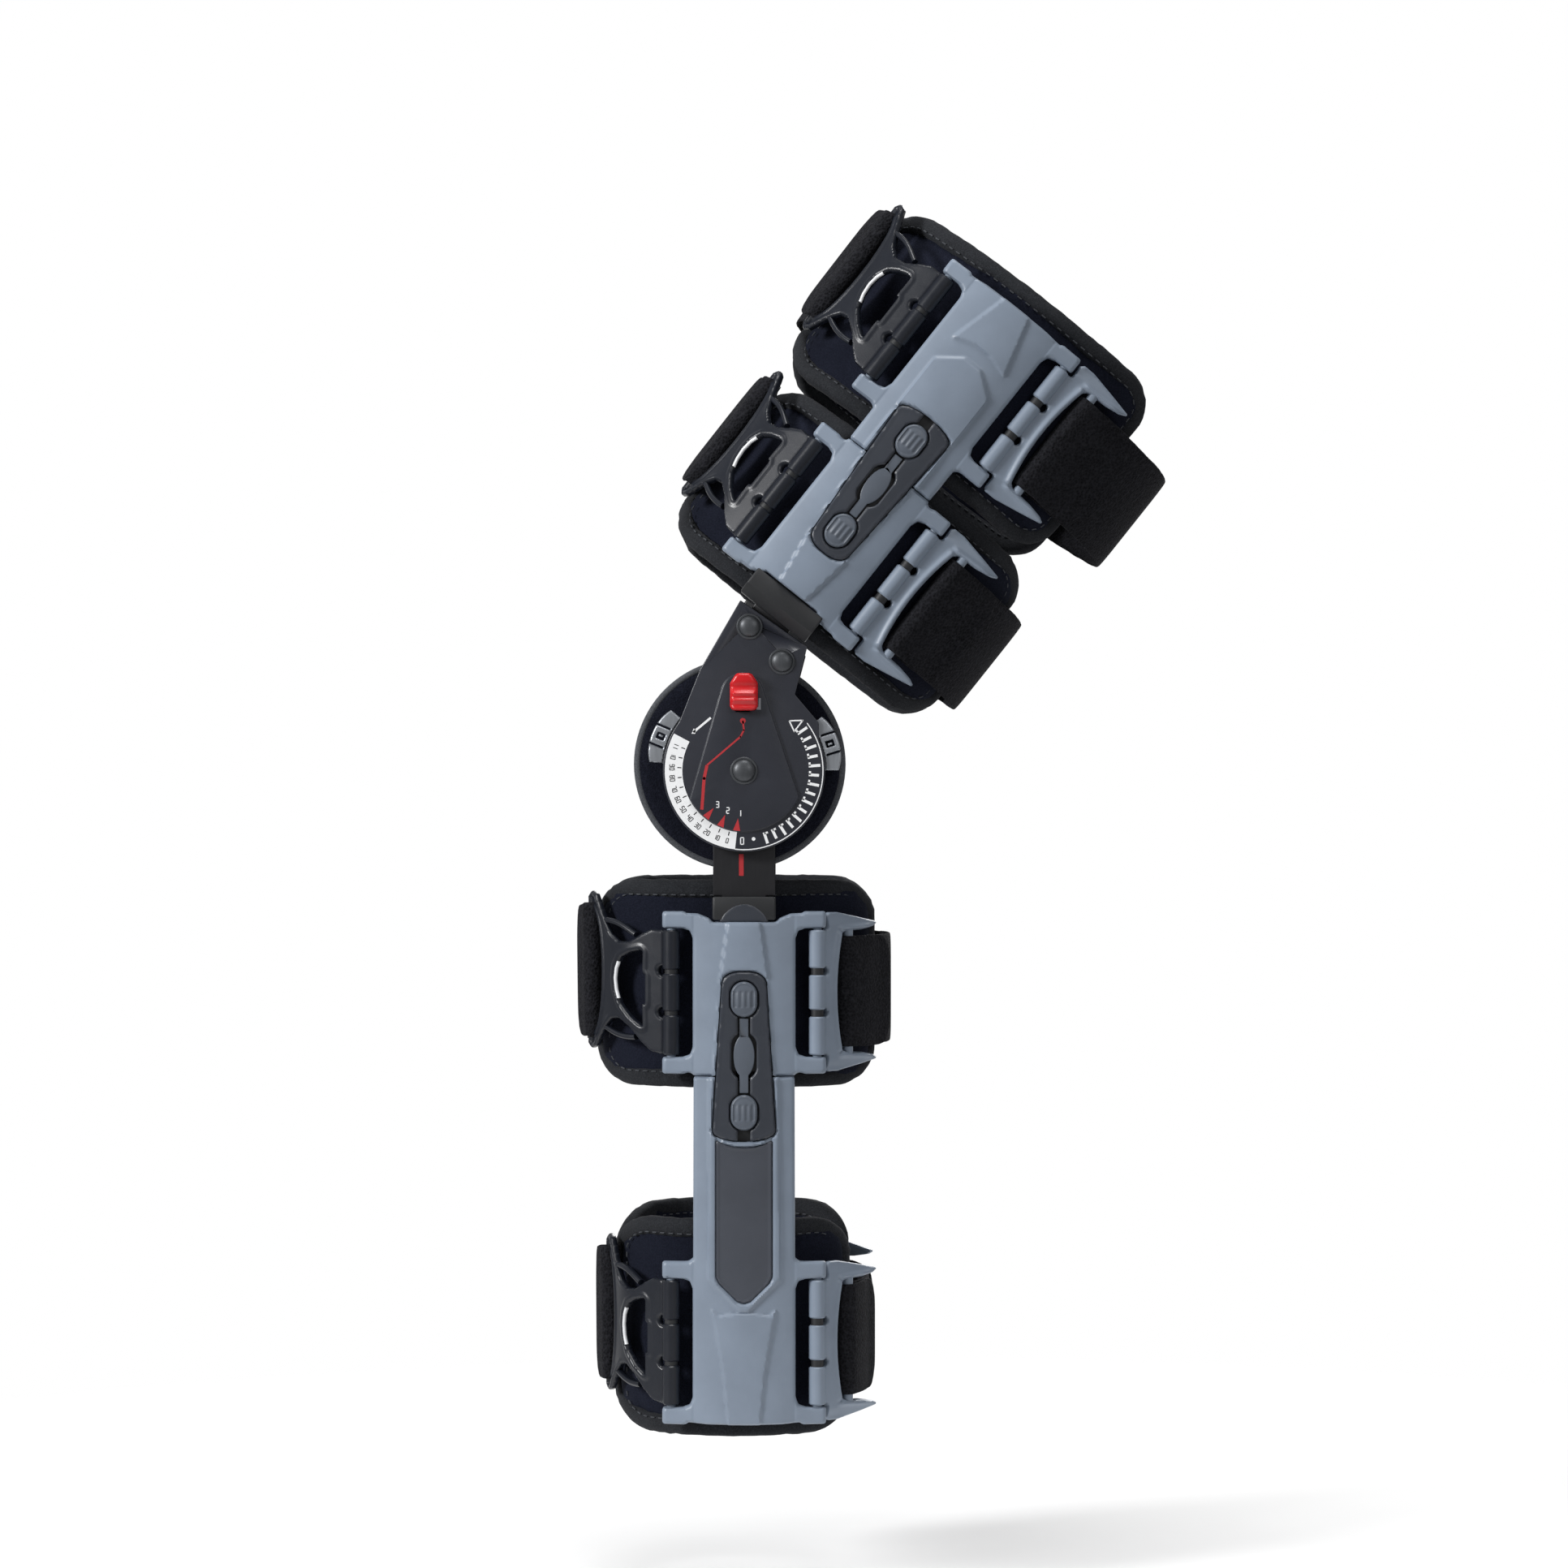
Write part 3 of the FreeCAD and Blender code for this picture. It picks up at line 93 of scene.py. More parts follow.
LEVELS = [
    Level("upper_thigh", "thigh", "thigh_slide", 165.2, -21.0, 80.0, 40.0, (157.5, 250, 82, 62)),
    Level("lower_thigh", "thigh", "thigh_frame", 71.5, -22.75, 70.75, 46.0, (65, 151.5, 74, 69)),
    Level("upper_calf", "shank", "shank_frame", 63.5, -3.0, 60.0, 43.0, (50, 143, 62, 60)),
    Level("lower_calf", "shank", "shank_slide", 221.7, -3.5, 50.5, 55.0, (204, 301, 53.5, 49)),
]


# ---------------------------------------------------------------- mesh helpers
def to_row(limb, side):
    """Maps (x, depth, z) in a limb's frame to the row frame in metres, on one side of the leg."""
    c, s = (math.cos(FLEXION), math.sin(FLEXION)) if limb == "thigh" else (1.0, 0.0)

    def place(p):
        x, d, z = p[:, 0], p[:, 1], p[:, 2]
        return np.stack([x * c + z * s, side * d, -x * s + z * c], 1) * 0.001

    return place


class Shape:
    """Collects (vertices, faces) pairs; each part keeps a material number."""

    def __init__(self):
        self.verts, self.faces, self.mats = np.zeros((0, 3)), [], []

    def add(self, mesh, material=0):
        verts, faces = mesh
        count = len(self.verts)
        self.verts = np.concatenate([self.verts, verts])
        self.faces += [tuple(int(i) + count for i in face) for face in faces]
        self.mats += [material] * len(faces)


def build(name, shape, place, materials, smooth=42):
    """Makes a Blender object of a shape, with outward faces and edges sharp above an angle."""
    mesh = bpy.data.meshes.new(name)
    mesh.from_pydata(place(shape.verts).tolist(), [], shape.faces)
    mesh.polygons.foreach_set("material_index", shape.mats)
    bm = bmesh.new()
    bm.from_mesh(mesh)
    bmesh.ops.recalc_face_normals(bm, faces=bm.faces)
    bm.to_mesh(mesh)
    bm.free()
    mesh.polygons.foreach_set("use_smooth", [True] * len(mesh.polygons))
    mesh.set_sharp_from_angle(angle=math.radians(smooth))
    for material in materials:
        mesh.materials.append(material)
    obj = bpy.data.objects.new(name, mesh)
    bpy.context.scene.collection.objects.link(obj)
    return obj


def finish_piece(obj, body, slot, *nodes):
    """Hangs a piece on the body it rides on and hides the CAD nodes it stands for; slot is not
    used.
    """
    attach(obj, body)
    if nodes:
        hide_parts(*nodes)


def ticks(low, high, step, marks=(), fine=(0.0, 0.25, 0.7, 1.3)):
    """Grid lines from low to high, closer together on both sides of each mark."""
    lines = set(np.round(np.linspace(low, high, max(2, int((high - low) / step) + 1)), 4))
    for mark in marks:
        lines = {v for v in lines if abs(v - mark) > fine[-1] * 0.9}
    for mark in marks:
        for gap in fine:
            lines |= {round(mark - gap, 4), round(mark + gap, 4)}
    kept = sorted(v for v in lines if low - 1e-6 <= v <= high + 1e-6)
    result = [kept[0]]
    for value in kept[1:]:
        if value - result[-1] > 0.12:
            result.append(value)
    return np.array(result)


def polygon(points):
    """Signed distance to a polygon, negative inside."""
    corners = np.array(points, float)

    def distance(x, y):
        nearest = np.full(x.shape, 1e18)
        inside = np.zeros(x.shape, bool)
        for (ax, ay), (bx, by) in zip(corners, np.roll(corners, -1, 0)):
            ex, ey = bx - ax, by - ay
            t = np.clip(((x - ax) * ex + (y - ay) * ey) / (ex * ex + ey * ey + 1e-12), 0, 1)
            nearest = np.minimum(nearest, (x - ax - t * ex) ** 2 + (y - ay - t * ey) ** 2)
            crossing = (ay <= y) != (by <= y)
            inside ^= crossing & (x < ax + ex * (y - ay) / (ey if abs(ey) > 1e-12 else 1e-12))
        return np.where(inside, -1, 1) * np.sqrt(nearest)

    return distance


def oval(cx, cy, half_x, half_y):
    """A round or upright slot-shaped region."""
    straight = max(half_y - half_x, 0)
    return lambda x, y: np.hypot(x - cx, np.maximum(np.abs(y - cy) - straight, 0)) - half_x


def band(cx, half, low, high):
    """A rectangular region about x = cx."""
    return lambda x, y: np.maximum(np.abs(x - cx) - half, np.maximum(low - y, y - high))


def flat(level):
    """A level surface for relief."""
    return lambda x, y: np.full(x.shape, level)


def without(base, *holes):
    return lambda x, y: np.maximum.reduce([base(x, y)] + [-hole(x, y) for hole in holes])


def rounded(points, radius, steps=4):
    """A polygon's points with each corner turned into an arc."""
    p = [np.array(q, float) for q in points]
    result = []
    for before, corner, after in zip(p[-1:] + p[:-1], p, p[1:] + p[:1]):
        a, b = before - corner, after - corner
        la, lb = np.linalg.norm(a), np.linalg.norm(b)
        a, b = a / la, b / lb
        half = math.acos(max(-1, min(1, float(a @ b)))) / 2
        if half > 1.5:
            result.append(corner)
            continue
        run = min(radius / math.tan(half), 0.45 * la, 0.45 * lb)
        r = run * math.tan(half)
        middle = corner + (a + b) / np.linalg.norm(a + b) * (r / math.sin(half))
        start, end = corner + a * run - middle, corner + b * run - middle
        for k in range(steps + 1):
            mix = start * (1 - k / steps) + end * (k / steps)
            result.append(middle + mix / np.linalg.norm(mix) * r)
    return result


def both_sides(points):
    """A right-hand outline, from top to bottom, closed with its mirror image about x = 0."""
    return list(points) + [(-x, y) for x, y in reversed(points)]


def smooth_step(value):
    t = np.clip(value, 0, 1)
    return t * t * (3 - 2 * t)


def inside_of(region, width):
    """1 inside a region and 0 outside, with a soft edge of a given width."""
    return lambda x, y: smooth_step(0.5 - region(x, y) / width)


def fillet_drop(depth, radius):
    """How far a rounded edge falls at a distance in from the outline."""
    d = np.clip(depth, 0, radius)
    return radius - np.sqrt(np.maximum(radius**2 - (radius - d) ** 2, 0))


def relief(region, xs, ys, top, bottom, edge=1.0, low_edge=0.4):
    """A moulded plate: its outline is a signed distance, its faces are heights over (x, y). Returns
    vertices (x, y, height) and faces."""
    x, y = np.meshgrid(xs, ys)
    cx = (x[:-1, :-1] + x[1:, 1:]) / 2
    cy = (y[:-1, :-1] + y[1:, 1:]) / 2
    keep = region(cx, cy) < 0
    framed = np.pad(keep, 1)
    corners = [framed[:-1, :-1], framed[1:, :-1], framed[:-1, 1:], framed[1:, 1:]]
    touching = sum(c.astype(int) for c in corners)
    used, rim = touching > 0, (touching > 0) & (touching < 4)
    cell = np.minimum(*np.broadcast_arrays(np.gradient(xs)[None, :], np.gradient(ys)[:, None]))
    fx, fy = x[rim].copy(), y[rim].copy()
    room = 1.1 * np.maximum(np.abs(cell[rim]), 0.5)
    ox, oy = fx.copy(), fy.copy()
    for _ in range(4):
        d, e = region(fx, fy), 0.02
        gx = (region(fx + e, fy) - region(fx - e, fy)) / (2 * e)
        gy = (region(fx, fy + e) - region(fx, fy - e)) / (2 * e)
        fx, fy = fx - d * gx, fy - d * gy
        far = np.hypot(fx - ox, fy - oy)
        pull = np.where(far > room, room / np.maximum(far, 1e-9), 1)
        fx, fy = ox + (fx - ox) * pull, oy + (fy - oy) * pull
    x[rim], y[rim] = fx, fy
    depth = np.maximum(-region(x, y), 0)
    depth[rim] = 0
    low = bottom(x, y)
    high = top(x, y)
    high = np.maximum(high - fillet_drop(depth, edge), low + 0.2)
    low = np.minimum(low + fillet_drop(depth, low_edge), high - 0.1)
    ids = np.full(x.shape, -1)
    ids[used] = np.arange(used.sum())
    n = int(used.sum())
    a, b, c, d = ids[:-1, :-1][keep], ids[:-1, 1:][keep], ids[1:, 1:][keep], ids[1:, :-1][keep]
    upper = np.stack([a, b, c, d], 1)
    faces = [upper, upper[:, ::-1] + n]
    across = framed[1:-1, :-1] != framed[1:-1, 1:]
    p, q = ids[:-1, :][across], ids[1:, :][across]
    faces.append(np.stack([p, q, q + n, p + n], 1))
    along = framed[:-1, 1:-1] != framed[1:, 1:-1]
    p, q = ids[:, :-1][along], ids[:, 1:][along]
    faces.append(np.stack([p, q, q + n, p + n], 1))
    flat = np.stack([x[used], y[used]], 1)
    verts = np.concatenate([np.c_[flat, high[used]], np.c_[flat, low[used]]])
    return verts, np.concatenate(faces)


def lathe(profile, steps=32):
    """A closed solid of revolution about z, from (radius, z) pairs between two on the axis."""
    ring = [(r, z) for r, z in profile if r > 1e-6]
    angles = np.arange(steps) * 2 * math.pi / steps
    verts = [(r * math.cos(t), r * math.sin(t), z) for r, z in ring for t in angles]
    faces = []
    for k in range(len(ring) - 1):
        for i in range(steps):
            j = (i + 1) % steps
            faces.append((k * steps + i, k * steps + j, (k + 1) * steps + j, (k + 1) * steps + i))
    verts += [(0, 0, profile[0][1]), (0, 0, profile[-1][1])]
    last = (len(ring) - 1) * steps
    for i in range(steps):
        j = (i + 1) % steps
        faces.append((i, j, len(verts) - 2))
        faces.append((last + i, last + j, len(verts) - 1))
    return np.array(verts), faces


def upright(mesh, move=(0, 0, 0)):
    """Turns a solid of revolution so that its axis runs up the second coordinate, and moves it."""
    return mesh[0][:, [0, 2, 1]] + list(move), mesh[1]


def rod(radius, low, high, bevel=0.5, move=(0, 0, 0)):
    """A round bar with bevelled ends, along the second coordinate."""
    return upright(lathe([(0, low), (radius - bevel, low), (radius, low + bevel),
                          (radius, high - bevel), (radius - bevel, high), (0, high)], 28), move)


def sweep(path, normals, section, closed=False):
    """Sweeps a closed section, in (normal, side) pairs, along a path. side is tangent x normal."""
    path = np.asarray(path, float)
    normals = np.broadcast_to(np.asarray(normals, float), path.shape)
    tangent = np.roll(path, -1, 0) - np.roll(path, 1, 0)
    if not closed:
        tangent[0], tangent[-1] = path[1] - path[0], path[-1] - path[-2]
    tangent /= np.linalg.norm(tangent, axis=1)[:, None]
    normals = normals - (normals * tangent).sum(1)[:, None] * tangent
    normals /= np.linalg.norm(normals, axis=1)[:, None]
    across = np.cross(tangent, normals)
    section = np.asarray(section, float)
    if section.ndim == 2:
        section = np.repeat(section[None], len(path), 0)
    verts = (path[:, None, :] + section[:, :, :1] * normals[:, None, :]
             + section[:, :, 1:2] * across[:, None, :])
    count, m = section.shape[:2]
    faces = []
    for k in range(count if closed else count - 1):
        j = (k + 1) % count
        for i in range(m):
            n = (i + 1) % m
            faces.append((k * m + i, k * m + n, j * m + n, j * m + i))
    if not closed:
        faces.append(tuple(range(m)))
        faces.append(tuple((count - 1) * m + i for i in range(m)))
    return verts.reshape(-1, 3), faces


def arc_length(points):
    """Distances along a path."""
    return np.r_[0, np.cumsum(np.linalg.norm(np.diff(points, axis=0), axis=1))]


def resample(points, step, closed=False):
    """Rows at even steps along a path. Columns after the third, such as a width, go along."""
    points = np.asarray(points, float)
    if closed:
        points = np.vstack([points, points[:1]])
    run = arc_length(points[:, :3])
    count = max(3, int(run[-1] / step))
    at = np.linspace(0, run[-1], count + 1)
    result = np.stack([np.interp(at, run, points[:, k]) for k in range(points.shape[1])], 1)
    return result[:-1] if closed else result


# ---------------------------------------------------------------- materials
class Nodes:
    """A short way to write a node material."""

    def __init__(self, name):
        self.material = bpy.data.materials.new(name)
        self.material.use_nodes = True
        self.tree = self.material.node_tree
        self.shader = self.tree.nodes["Principled BSDF"]
        self.coords = self.tree.nodes.new("ShaderNodeTexCoord").outputs["Object"]

    def node(self, kind, inputs=(), **settings):
        made = self.tree.nodes.new(kind)
        for key, value in settings.items():
            setattr(made, key, value)
        for key, value in dict(inputs).items():
            self.put(made.inputs[key], value)
        return made

    def put(self, socket, value):
        if isinstance(value, bpy.types.NodeSocket):
            self.tree.links.new(value, socket)
        else:
            socket.default_value = value

    def noise(self, scale, detail=2.0, rough=0.5, vector=None):
        ins = {"Vector": vector or self.coords, "Scale": scale, "Detail": detail,
               "Roughness": rough}
        return self.node("ShaderNodeTexNoise", ins).outputs["Fac"]

    def ramp(self, value, *stops):
        made = self.node("ShaderNodeValToRGB", {"Fac": value})
        band = made.color_ramp
        while len(band.elements) < len(stops):
            band.elements.new(0.5)
        for element, (place, shade) in zip(band.elements, stops):
            element.position = place
            element.color = (*shade, 1) if isinstance(shade, tuple) else (shade,) * 3 + (1,)
        return made.outputs["Color"]

    def math(self, operation, a, b=0.0):
        return self.node("ShaderNodeMath", {0: a, 1: b}, operation=operation).outputs[0]

    def mix(self, factor, a, b):
        made = self.node("ShaderNodeMix", data_type="RGBA")
        self.put(made.inputs["Factor"], factor)
        for key, value in (("A", a), ("B", b)):
            socket = [s for s in made.inputs if s.name == key and s.type == "RGBA"][0]
            self.put(socket, value if isinstance(value, bpy.types.NodeSocket) else (*value, 1))
        return [s for s in made.outputs if s.type == "RGBA"][0]

    def bump(self, height, distance, strength=1.0, under=None):
        ins = {"Height": height, "Distance": distance, "Strength": strength}
        if under is not None:
            ins["Normal"] = under
        return self.node("ShaderNodeBump", ins).outputs["Normal"]

    def set(self, **values):
        names = {"color": "Base Color", "rough": "Roughness", "metal": "Metallic",
                 "normal": "Normal", "sheen": "Sheen Weight", "sheen_rough": "Sheen Roughness",
                 "sheen_tint": "Sheen Tint", "specular": "Specular IOR Level"}
        for key, value in values.items():
            if isinstance(value, tuple):
                value = (*value, 1)
            self.put(self.shader.inputs[names[key]], value)
        return self.material


def plastic(name, shade, rough, speck=0.06):
    """Moulded plastic: a fine spark-eroded grain, slow gloss changes and faint scuffs."""
    n = Nodes(name)
    cloud = n.noise(60, 3)
    fine = n.noise(2600, 2)
    low, high = tuple(c * (1 - speck) for c in shade), tuple(c * (1 + speck) for c in shade)
    color = n.ramp(cloud, (0.3, low), (0.7, high))
    scuff = n.ramp(n.noise(240, 6, 0.7), (0.62, 0.0), (0.7, 1.0))
    color = n.mix(n.math("MULTIPLY", scuff, 0.08), color, tuple(min(1, c * 1.35) for c in shade))
    gloss = n.math("ADD", n.math("MULTIPLY", n.noise(180, 4), 0.12), rough - 0.06)
    normal = n.bump(n.noise(30, 2), 0.0001, 0.4, n.bump(fine, 0.00004))
    return n.set(color=color, rough=gloss, normal=normal)


def metal(name, shade, rough, metallic):
    """Metal with a drawn grain and slight handling marks."""
    n = Nodes(name)
    brushed = n.node("ShaderNodeMapping", {"Vector": n.coords, "Scale": (900, 900, 90)}).outputs[0]
    grain = n.noise(1.0, 3, 0.6, brushed)
    color = n.ramp(grain, (0.3, tuple(c * 0.85 for c in shade)), (0.7, shade))
    gloss = n.math("ADD", n.math("MULTIPLY", n.noise(160, 4), 0.16), rough - 0.08)
    return n.set(color=color, rough=gloss, metal=metallic, normal=n.bump(grain, 0.00002, 0.5))


def fabric(name, shade, lift, scale, depth, sheen=0.35, tint=(0.3, 0.34, 0.42)):
    """Brushed knit: tiny loops, a soft nap and lint."""
    n = Nodes(name)
    loops = n.node("ShaderNodeTexVoronoi", {"Vector": n.coords, "Scale": scale}).outputs["Distance"]
    nap = n.noise(scale * 0.5, 4, 0.7)
    patch = n.noise(45, 4, 0.6)
    both = n.math("ADD", n.math("MULTIPLY", loops, 0.6), n.math("MULTIPLY", nap, 0.7))
    color = n.ramp(both, (0.25, shade), (0.95, lift))
    color = n.mix(n.math("MULTIPLY", n.ramp(patch, (0.45, 0.0), (0.75, 1.0)), 0.35), color, lift)
    normal = n.bump(n.noise(26, 3), 0.0012, 0.5, n.bump(both, depth))
    return n.set(color=color, rough=0.93, normal=normal, sheen=sheen, sheen_rough=0.5,
                 sheen_tint=tint, specular=0.06)


SHELL = plastic("shell_plastic", (0.19, 0.23, 0.29), 0.42)
PANEL = plastic("panel_plastic", (0.028, 0.0325, 0.043), 0.42)
BADGE = plastic("badge_plastic", (0.05, 0.0555, 0.07), 0.4)
KEY = plastic("key_plastic", (0.085, 0.1, 0.125), 0.4)
BUCKLE = plastic("buckle_plastic", (0.0068, 0.0088, 0.0145), 0.34)
COVER = plastic("cover_plastic", (0.0205, 0.0225, 0.031), 0.38)
LOCK = plastic("lock_plastic", (0.55, 0.008, 0.012), 0.3)
PRINT_WHITE = plastic("print_white", (0.82, 0.83, 0.84), 0.5, speck=0.02)
PRINT_RED = plastic("print_red", (0.42, 0.022, 0.028), 0.5, speck=0.02)
# Near-white gloss for the painted highlight strip along each buckle window's far edge.
PAINTED_HIGHLIGHT = plastic("glint_plastic", (0.75, 0.76, 0.78), 0.2)
PRINT_BLACK = plastic("print_black", (0.015, 0.015, 0.018), 0.5)
# Near-black plastic: the sleeves' own colour, and painted shade for the seats under shell openings
# and the cores in barrel gaps.
DARK_AND_PAINTED_SHADE = plastic("dark_plastic", (0.012, 0.013, 0.015), 0.5)
ARM = metal("arm_metal", (0.02, 0.02, 0.023), 0.42, 0.3)
RIVET = metal("rivet_metal", (0.075, 0.08, 0.088), 0.42, 0.45)
STEEL = metal("stop_metal", (0.34, 0.36, 0.39), 0.34, 0.6)
PAD = fabric("pad_fabric", (0.0035, 0.0042, 0.0085), (0.012, 0.014, 0.024), 1700, 0.0002, 0.06)
BINDING = fabric("binding_fabric", (0.007, 0.0075, 0.009), (0.028, 0.03, 0.034), 1900, 0.00025,
                 0.1, (0.5, 0.5, 0.52))
STRAP = fabric("strap_fabric", (0.0006, 0.0006, 0.0008), (0.0185, 0.0188, 0.0225), 850, 0.0008,
               0.05, (0.4, 0.4, 0.42))
STITCH = fabric("stitch_thread", (0.02, 0.021, 0.024), (0.08, 0.083, 0.09), 4000, 0.0001)
CONDYLE = fabric("condyle_fabric", (0.002, 0.0023, 0.0045), (0.012, 0.0135, 0.022), 1500, 0.00035,
                 0.05)
EDGE = fabric("edge_fabric", (0.03, 0.032, 0.036), (0.1, 0.105, 0.115), 2200, 0.0001, 0.1)


# ---------------------------------------------------------------- CAD pieces that stay shown
def dress(node, material, width, segments=2):
    """Gives a CAD node its finish and softens its edges. Its mesh stays as it was packed."""
    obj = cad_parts[node]
    obj.data.materials.clear()
    obj.data.materials.append(material)
    weld = obj.modifiers.new("weld", "WELD")
    weld.merge_threshold = 0.00002
    bevel = obj.modifiers.new("bevel", "BEVEL")
    bevel.width, bevel.segments = width * 0.001, segments
    bevel.limit_method, bevel.angle_limit = "ANGLE", math.radians(32)
    bevel.use_clamp_overlap = True
    obj.data.polygons.foreach_set("use_smooth", [True] * len(obj.data.polygons))


for side in SIDES:
    dress(f"{side}_shank_hinge_arm", ARM, 0.6)
    dress(f"{side}_thigh_hinge_bar", ARM, 0.6)
    dress(f"{side}_dial_cover", COVER, 0.45, 3)
# The sleeves are near-black plastic in their own colour.
for node in ("shank_sleeves", "thigh_sleeves"):
    dress(node, DARK_AND_PAINTED_SHADE, 1.0, 3)
for node in ("shank_latch_strips", "thigh_latch_strips"):
    dress(node, KEY, 0.4)
dress("hinge_washers", RIVET, 0.5)


# ---------------------------------------------------------------- shells
def on_limb(limb, side):
    """Maps (x from the shell's middle, distance up or down the limb, height off its face)."""
    row = to_row(limb, side)

    def place(p):
        return row(np.stack([p[:, 0] + AXIS[limb], p[:, 2] + FACE[limb], p[:, 1] * UP[limb]], 1))

    return place


def shell_top(features):
    """The crowned face with its raised features, which steps down to the strap frames' arms."""

    def top(x, u):
        a = np.abs(x)
        arm = 7.7 - 2.7 * np.clip((a - 23.5) / 13.5, 0, 1)
        high = 11.8 - 4.2 * np.minimum(a / 23.0, 1.2) ** 2
        for points, rise in features:
            high = high + rise * inside_of(polygon(points), 0.9)(x, u)
        return high + (arm - high) * smooth_step((a - 22.4) / 1.2)

    return top


def shell_bottom(x, u):
    return np.where(np.abs(x) < 23.6, 0.0, 1.2 - 1.6 * np.clip((np.abs(x) - 23) / 14, 0, 1))


def panel_points(limb, room):
    """The button panel's outline, widening away from the knee, with room all round."""
    start = NEAR[limb] + PANEL_START
    narrow, wide = 10.2 + room, 14.2 + room
    right = [(narrow * math.sin(t) ** 0.8, start + 7.0 - (7.0 + room) * math.cos(t) ** 0.8)
             for t in np.radians([9, 22, 36, 50, 64, 78])]
    right += [(narrow + 0.1, start + 9.0), (wide, start + 72.0)]
    right += [(wide * math.sin(t), start + 72.0 + room + 4.4 * math.cos(t))
              for t in np.radians([68, 45, 22, 0])]
    return rounded(right + [(-x, y) for x, y in reversed(right[:-1])], 2.0)


def badge_points(room):
    """The badge's outline, curved at the panel's end and pointed at the other."""
    half = 12.6 + room
    top = [(half * math.sin(t), 165.1 - room + 4.6 * math.cos(t))
           for t in np.radians([0, 22, 45, 68])]
    right = top[1:] + [(half, 166.9 - room), (half, 228.0), (half - 1.5, 231.0),
                       (3.0, 239.0 + room), (0, 240.0 + room)]
    return [top[0]] + right + [(-x, y) for x, y in reversed(right[:-1])]


def frame_arms(near_corner, low, high):
    """The edge of a strap frame that is open to the side, and its two arms."""
    return [(near_corner, low), (37, low), (37, low + 7.5), (27.8, low + 7.6), (24.5, low + 8.6),
            (23.2, low + 12), (23.2, high - 12), (24.5, high - 8.6), (27.8, high - 7.5),
            (37, high - 7.4), (37, high)]


def near_outline(limb):
    low = NEAR[limb] - 4.0
    high = low + FRAME_TALL
    right = [(14.2, low + 4.7), (16, low + 3.0), (21, low + 1.0), (26.2, low + 0.8)]
    right += frame_arms(27.2, low, high)
    right += [(27.5, high), (25, high - 0.8), (23.3, high - 0.1), (22.8, SEAM[limb])]
    return rounded(both_sides(right), 1.1)


def far_outline(limb):
    high = FAR[limb]
    low = high - FRAME_TALL
    right = [(22.8, SEAM[limb] + 0.4), (23.0, low - 1.5), (25, low - 0.2)]
    right += frame_arms(27, low, high)
    right += [(26.5, high), (25, high - 1.0), (17, high - 0.4)]
    return rounded(both_sides(right), 1.1)


def raised_features(limb, far):
    """Outlines raised on a shell's face, and how high: a wedge, or a rim and a tongue."""
    near, seam, end = NEAR[limb], SEAM[limb], FAR[limb]
    second = []
    if not far:
        first = [(6.4, near - 6), (10.6, near + 24.5), (13.7, near + 68), (15.4, seam + 3)]
    elif limb == "shank":
        first = [(15.6, seam - 5), (16.2, 229.5), (2.0, 243.5)]
        second = [(2.3, 244.2), (11.5, 245.6), (14.4, 242.6), (9.6, 270), (6.9, 297)]
    else:
        first = [(15.4, seam - 5), (15.4, 198.0), (4.6, 206.0)]
        second = [(3.3, 213.6), (14.6, 210.2), (6.2, end + 3)]
    features = [(both_sides(first), 1.25)]
    return features + ([(both_sides(second), 1.1)] if second else [])


def make_shell(limb, side, far):
    """A shell's skin, near-black seats painting the shade in its openings, and its two strap pins.
    """
    near, seam, end = NEAR[limb], SEAM[limb], FAR[limb]
    outline = polygon(far_outline(limb) if far else near_outline(limb))
    low, high = (seam + 0.3, end) if far else (near - 4.0, seam + 0.1)
    has_badge = far and limb == "shank"
    holes = [polygon(panel_points(limb, 0.35))]
    if has_badge:
        holes.append(polygon(badge_points(0.25)))
    xs = ticks(-37.4, 37.4, 0.8, (-23.0, 23.0), (0.0, 0.4, 0.9))
    us = ticks(low - 0.4, high + 0.4, 0.8)
    shape = Shape()
    shape.add(relief(without(outline, *holes), xs, us, shell_top(raised_features(limb, far)),
                     shell_bottom, 1.3, 0.4))
    # Near-black seat under the panel's opening: painted shade for the gaps round the panel and in
    # its slots.
    floor_region = polygon(panel_points(limb, 2.0))
    seat = lambda x, u: np.maximum(outline(x, u) + 2.0, floor_region(x, u))
    panel_low = near + PANEL_START
    us = ticks(max(low, panel_low - 3), min(high, panel_low + PANEL_LONG + 3), 3.0)
    shape.add(relief(seat, ticks(-18, 18, 2.0), us, flat(9.4), flat(5.5), 0.1, 0.1), 1)
    if has_badge:
        # Near-black seat under the badge's opening: painted shade for the gap round the badge.
        shape.add(relief(polygon(badge_points(1.5)), ticks(-15, 15, 2.0), ticks(159, 243, 3.0),
                         flat(10.2), flat(6), 0.1, 0.1), 1)
    start = end - FRAME_TALL if far else low
    for x in (-PIN_X, PIN_X):
        shape.add(rod(PIN_RADIUS, start + 2, start + FRAME_TALL - 2, move=(x, 0, PIN_D)))
    name = f"{side}_{limb}_{'far' if far else 'near'}_shell"
    obj = build(f"{name}_skin", shape, on_limb(limb, SIDES[side]), [SHELL, DARK_AND_PAINTED_SHADE])
    finish_piece(obj, f"{limb}_slide" if far else f"{limb}_frame", "shell_plastic", name)


for limb in ("thigh", "shank"):
    for side in SIDES:
        make_shell(limb, side, False)
        make_shell(limb, side, True)


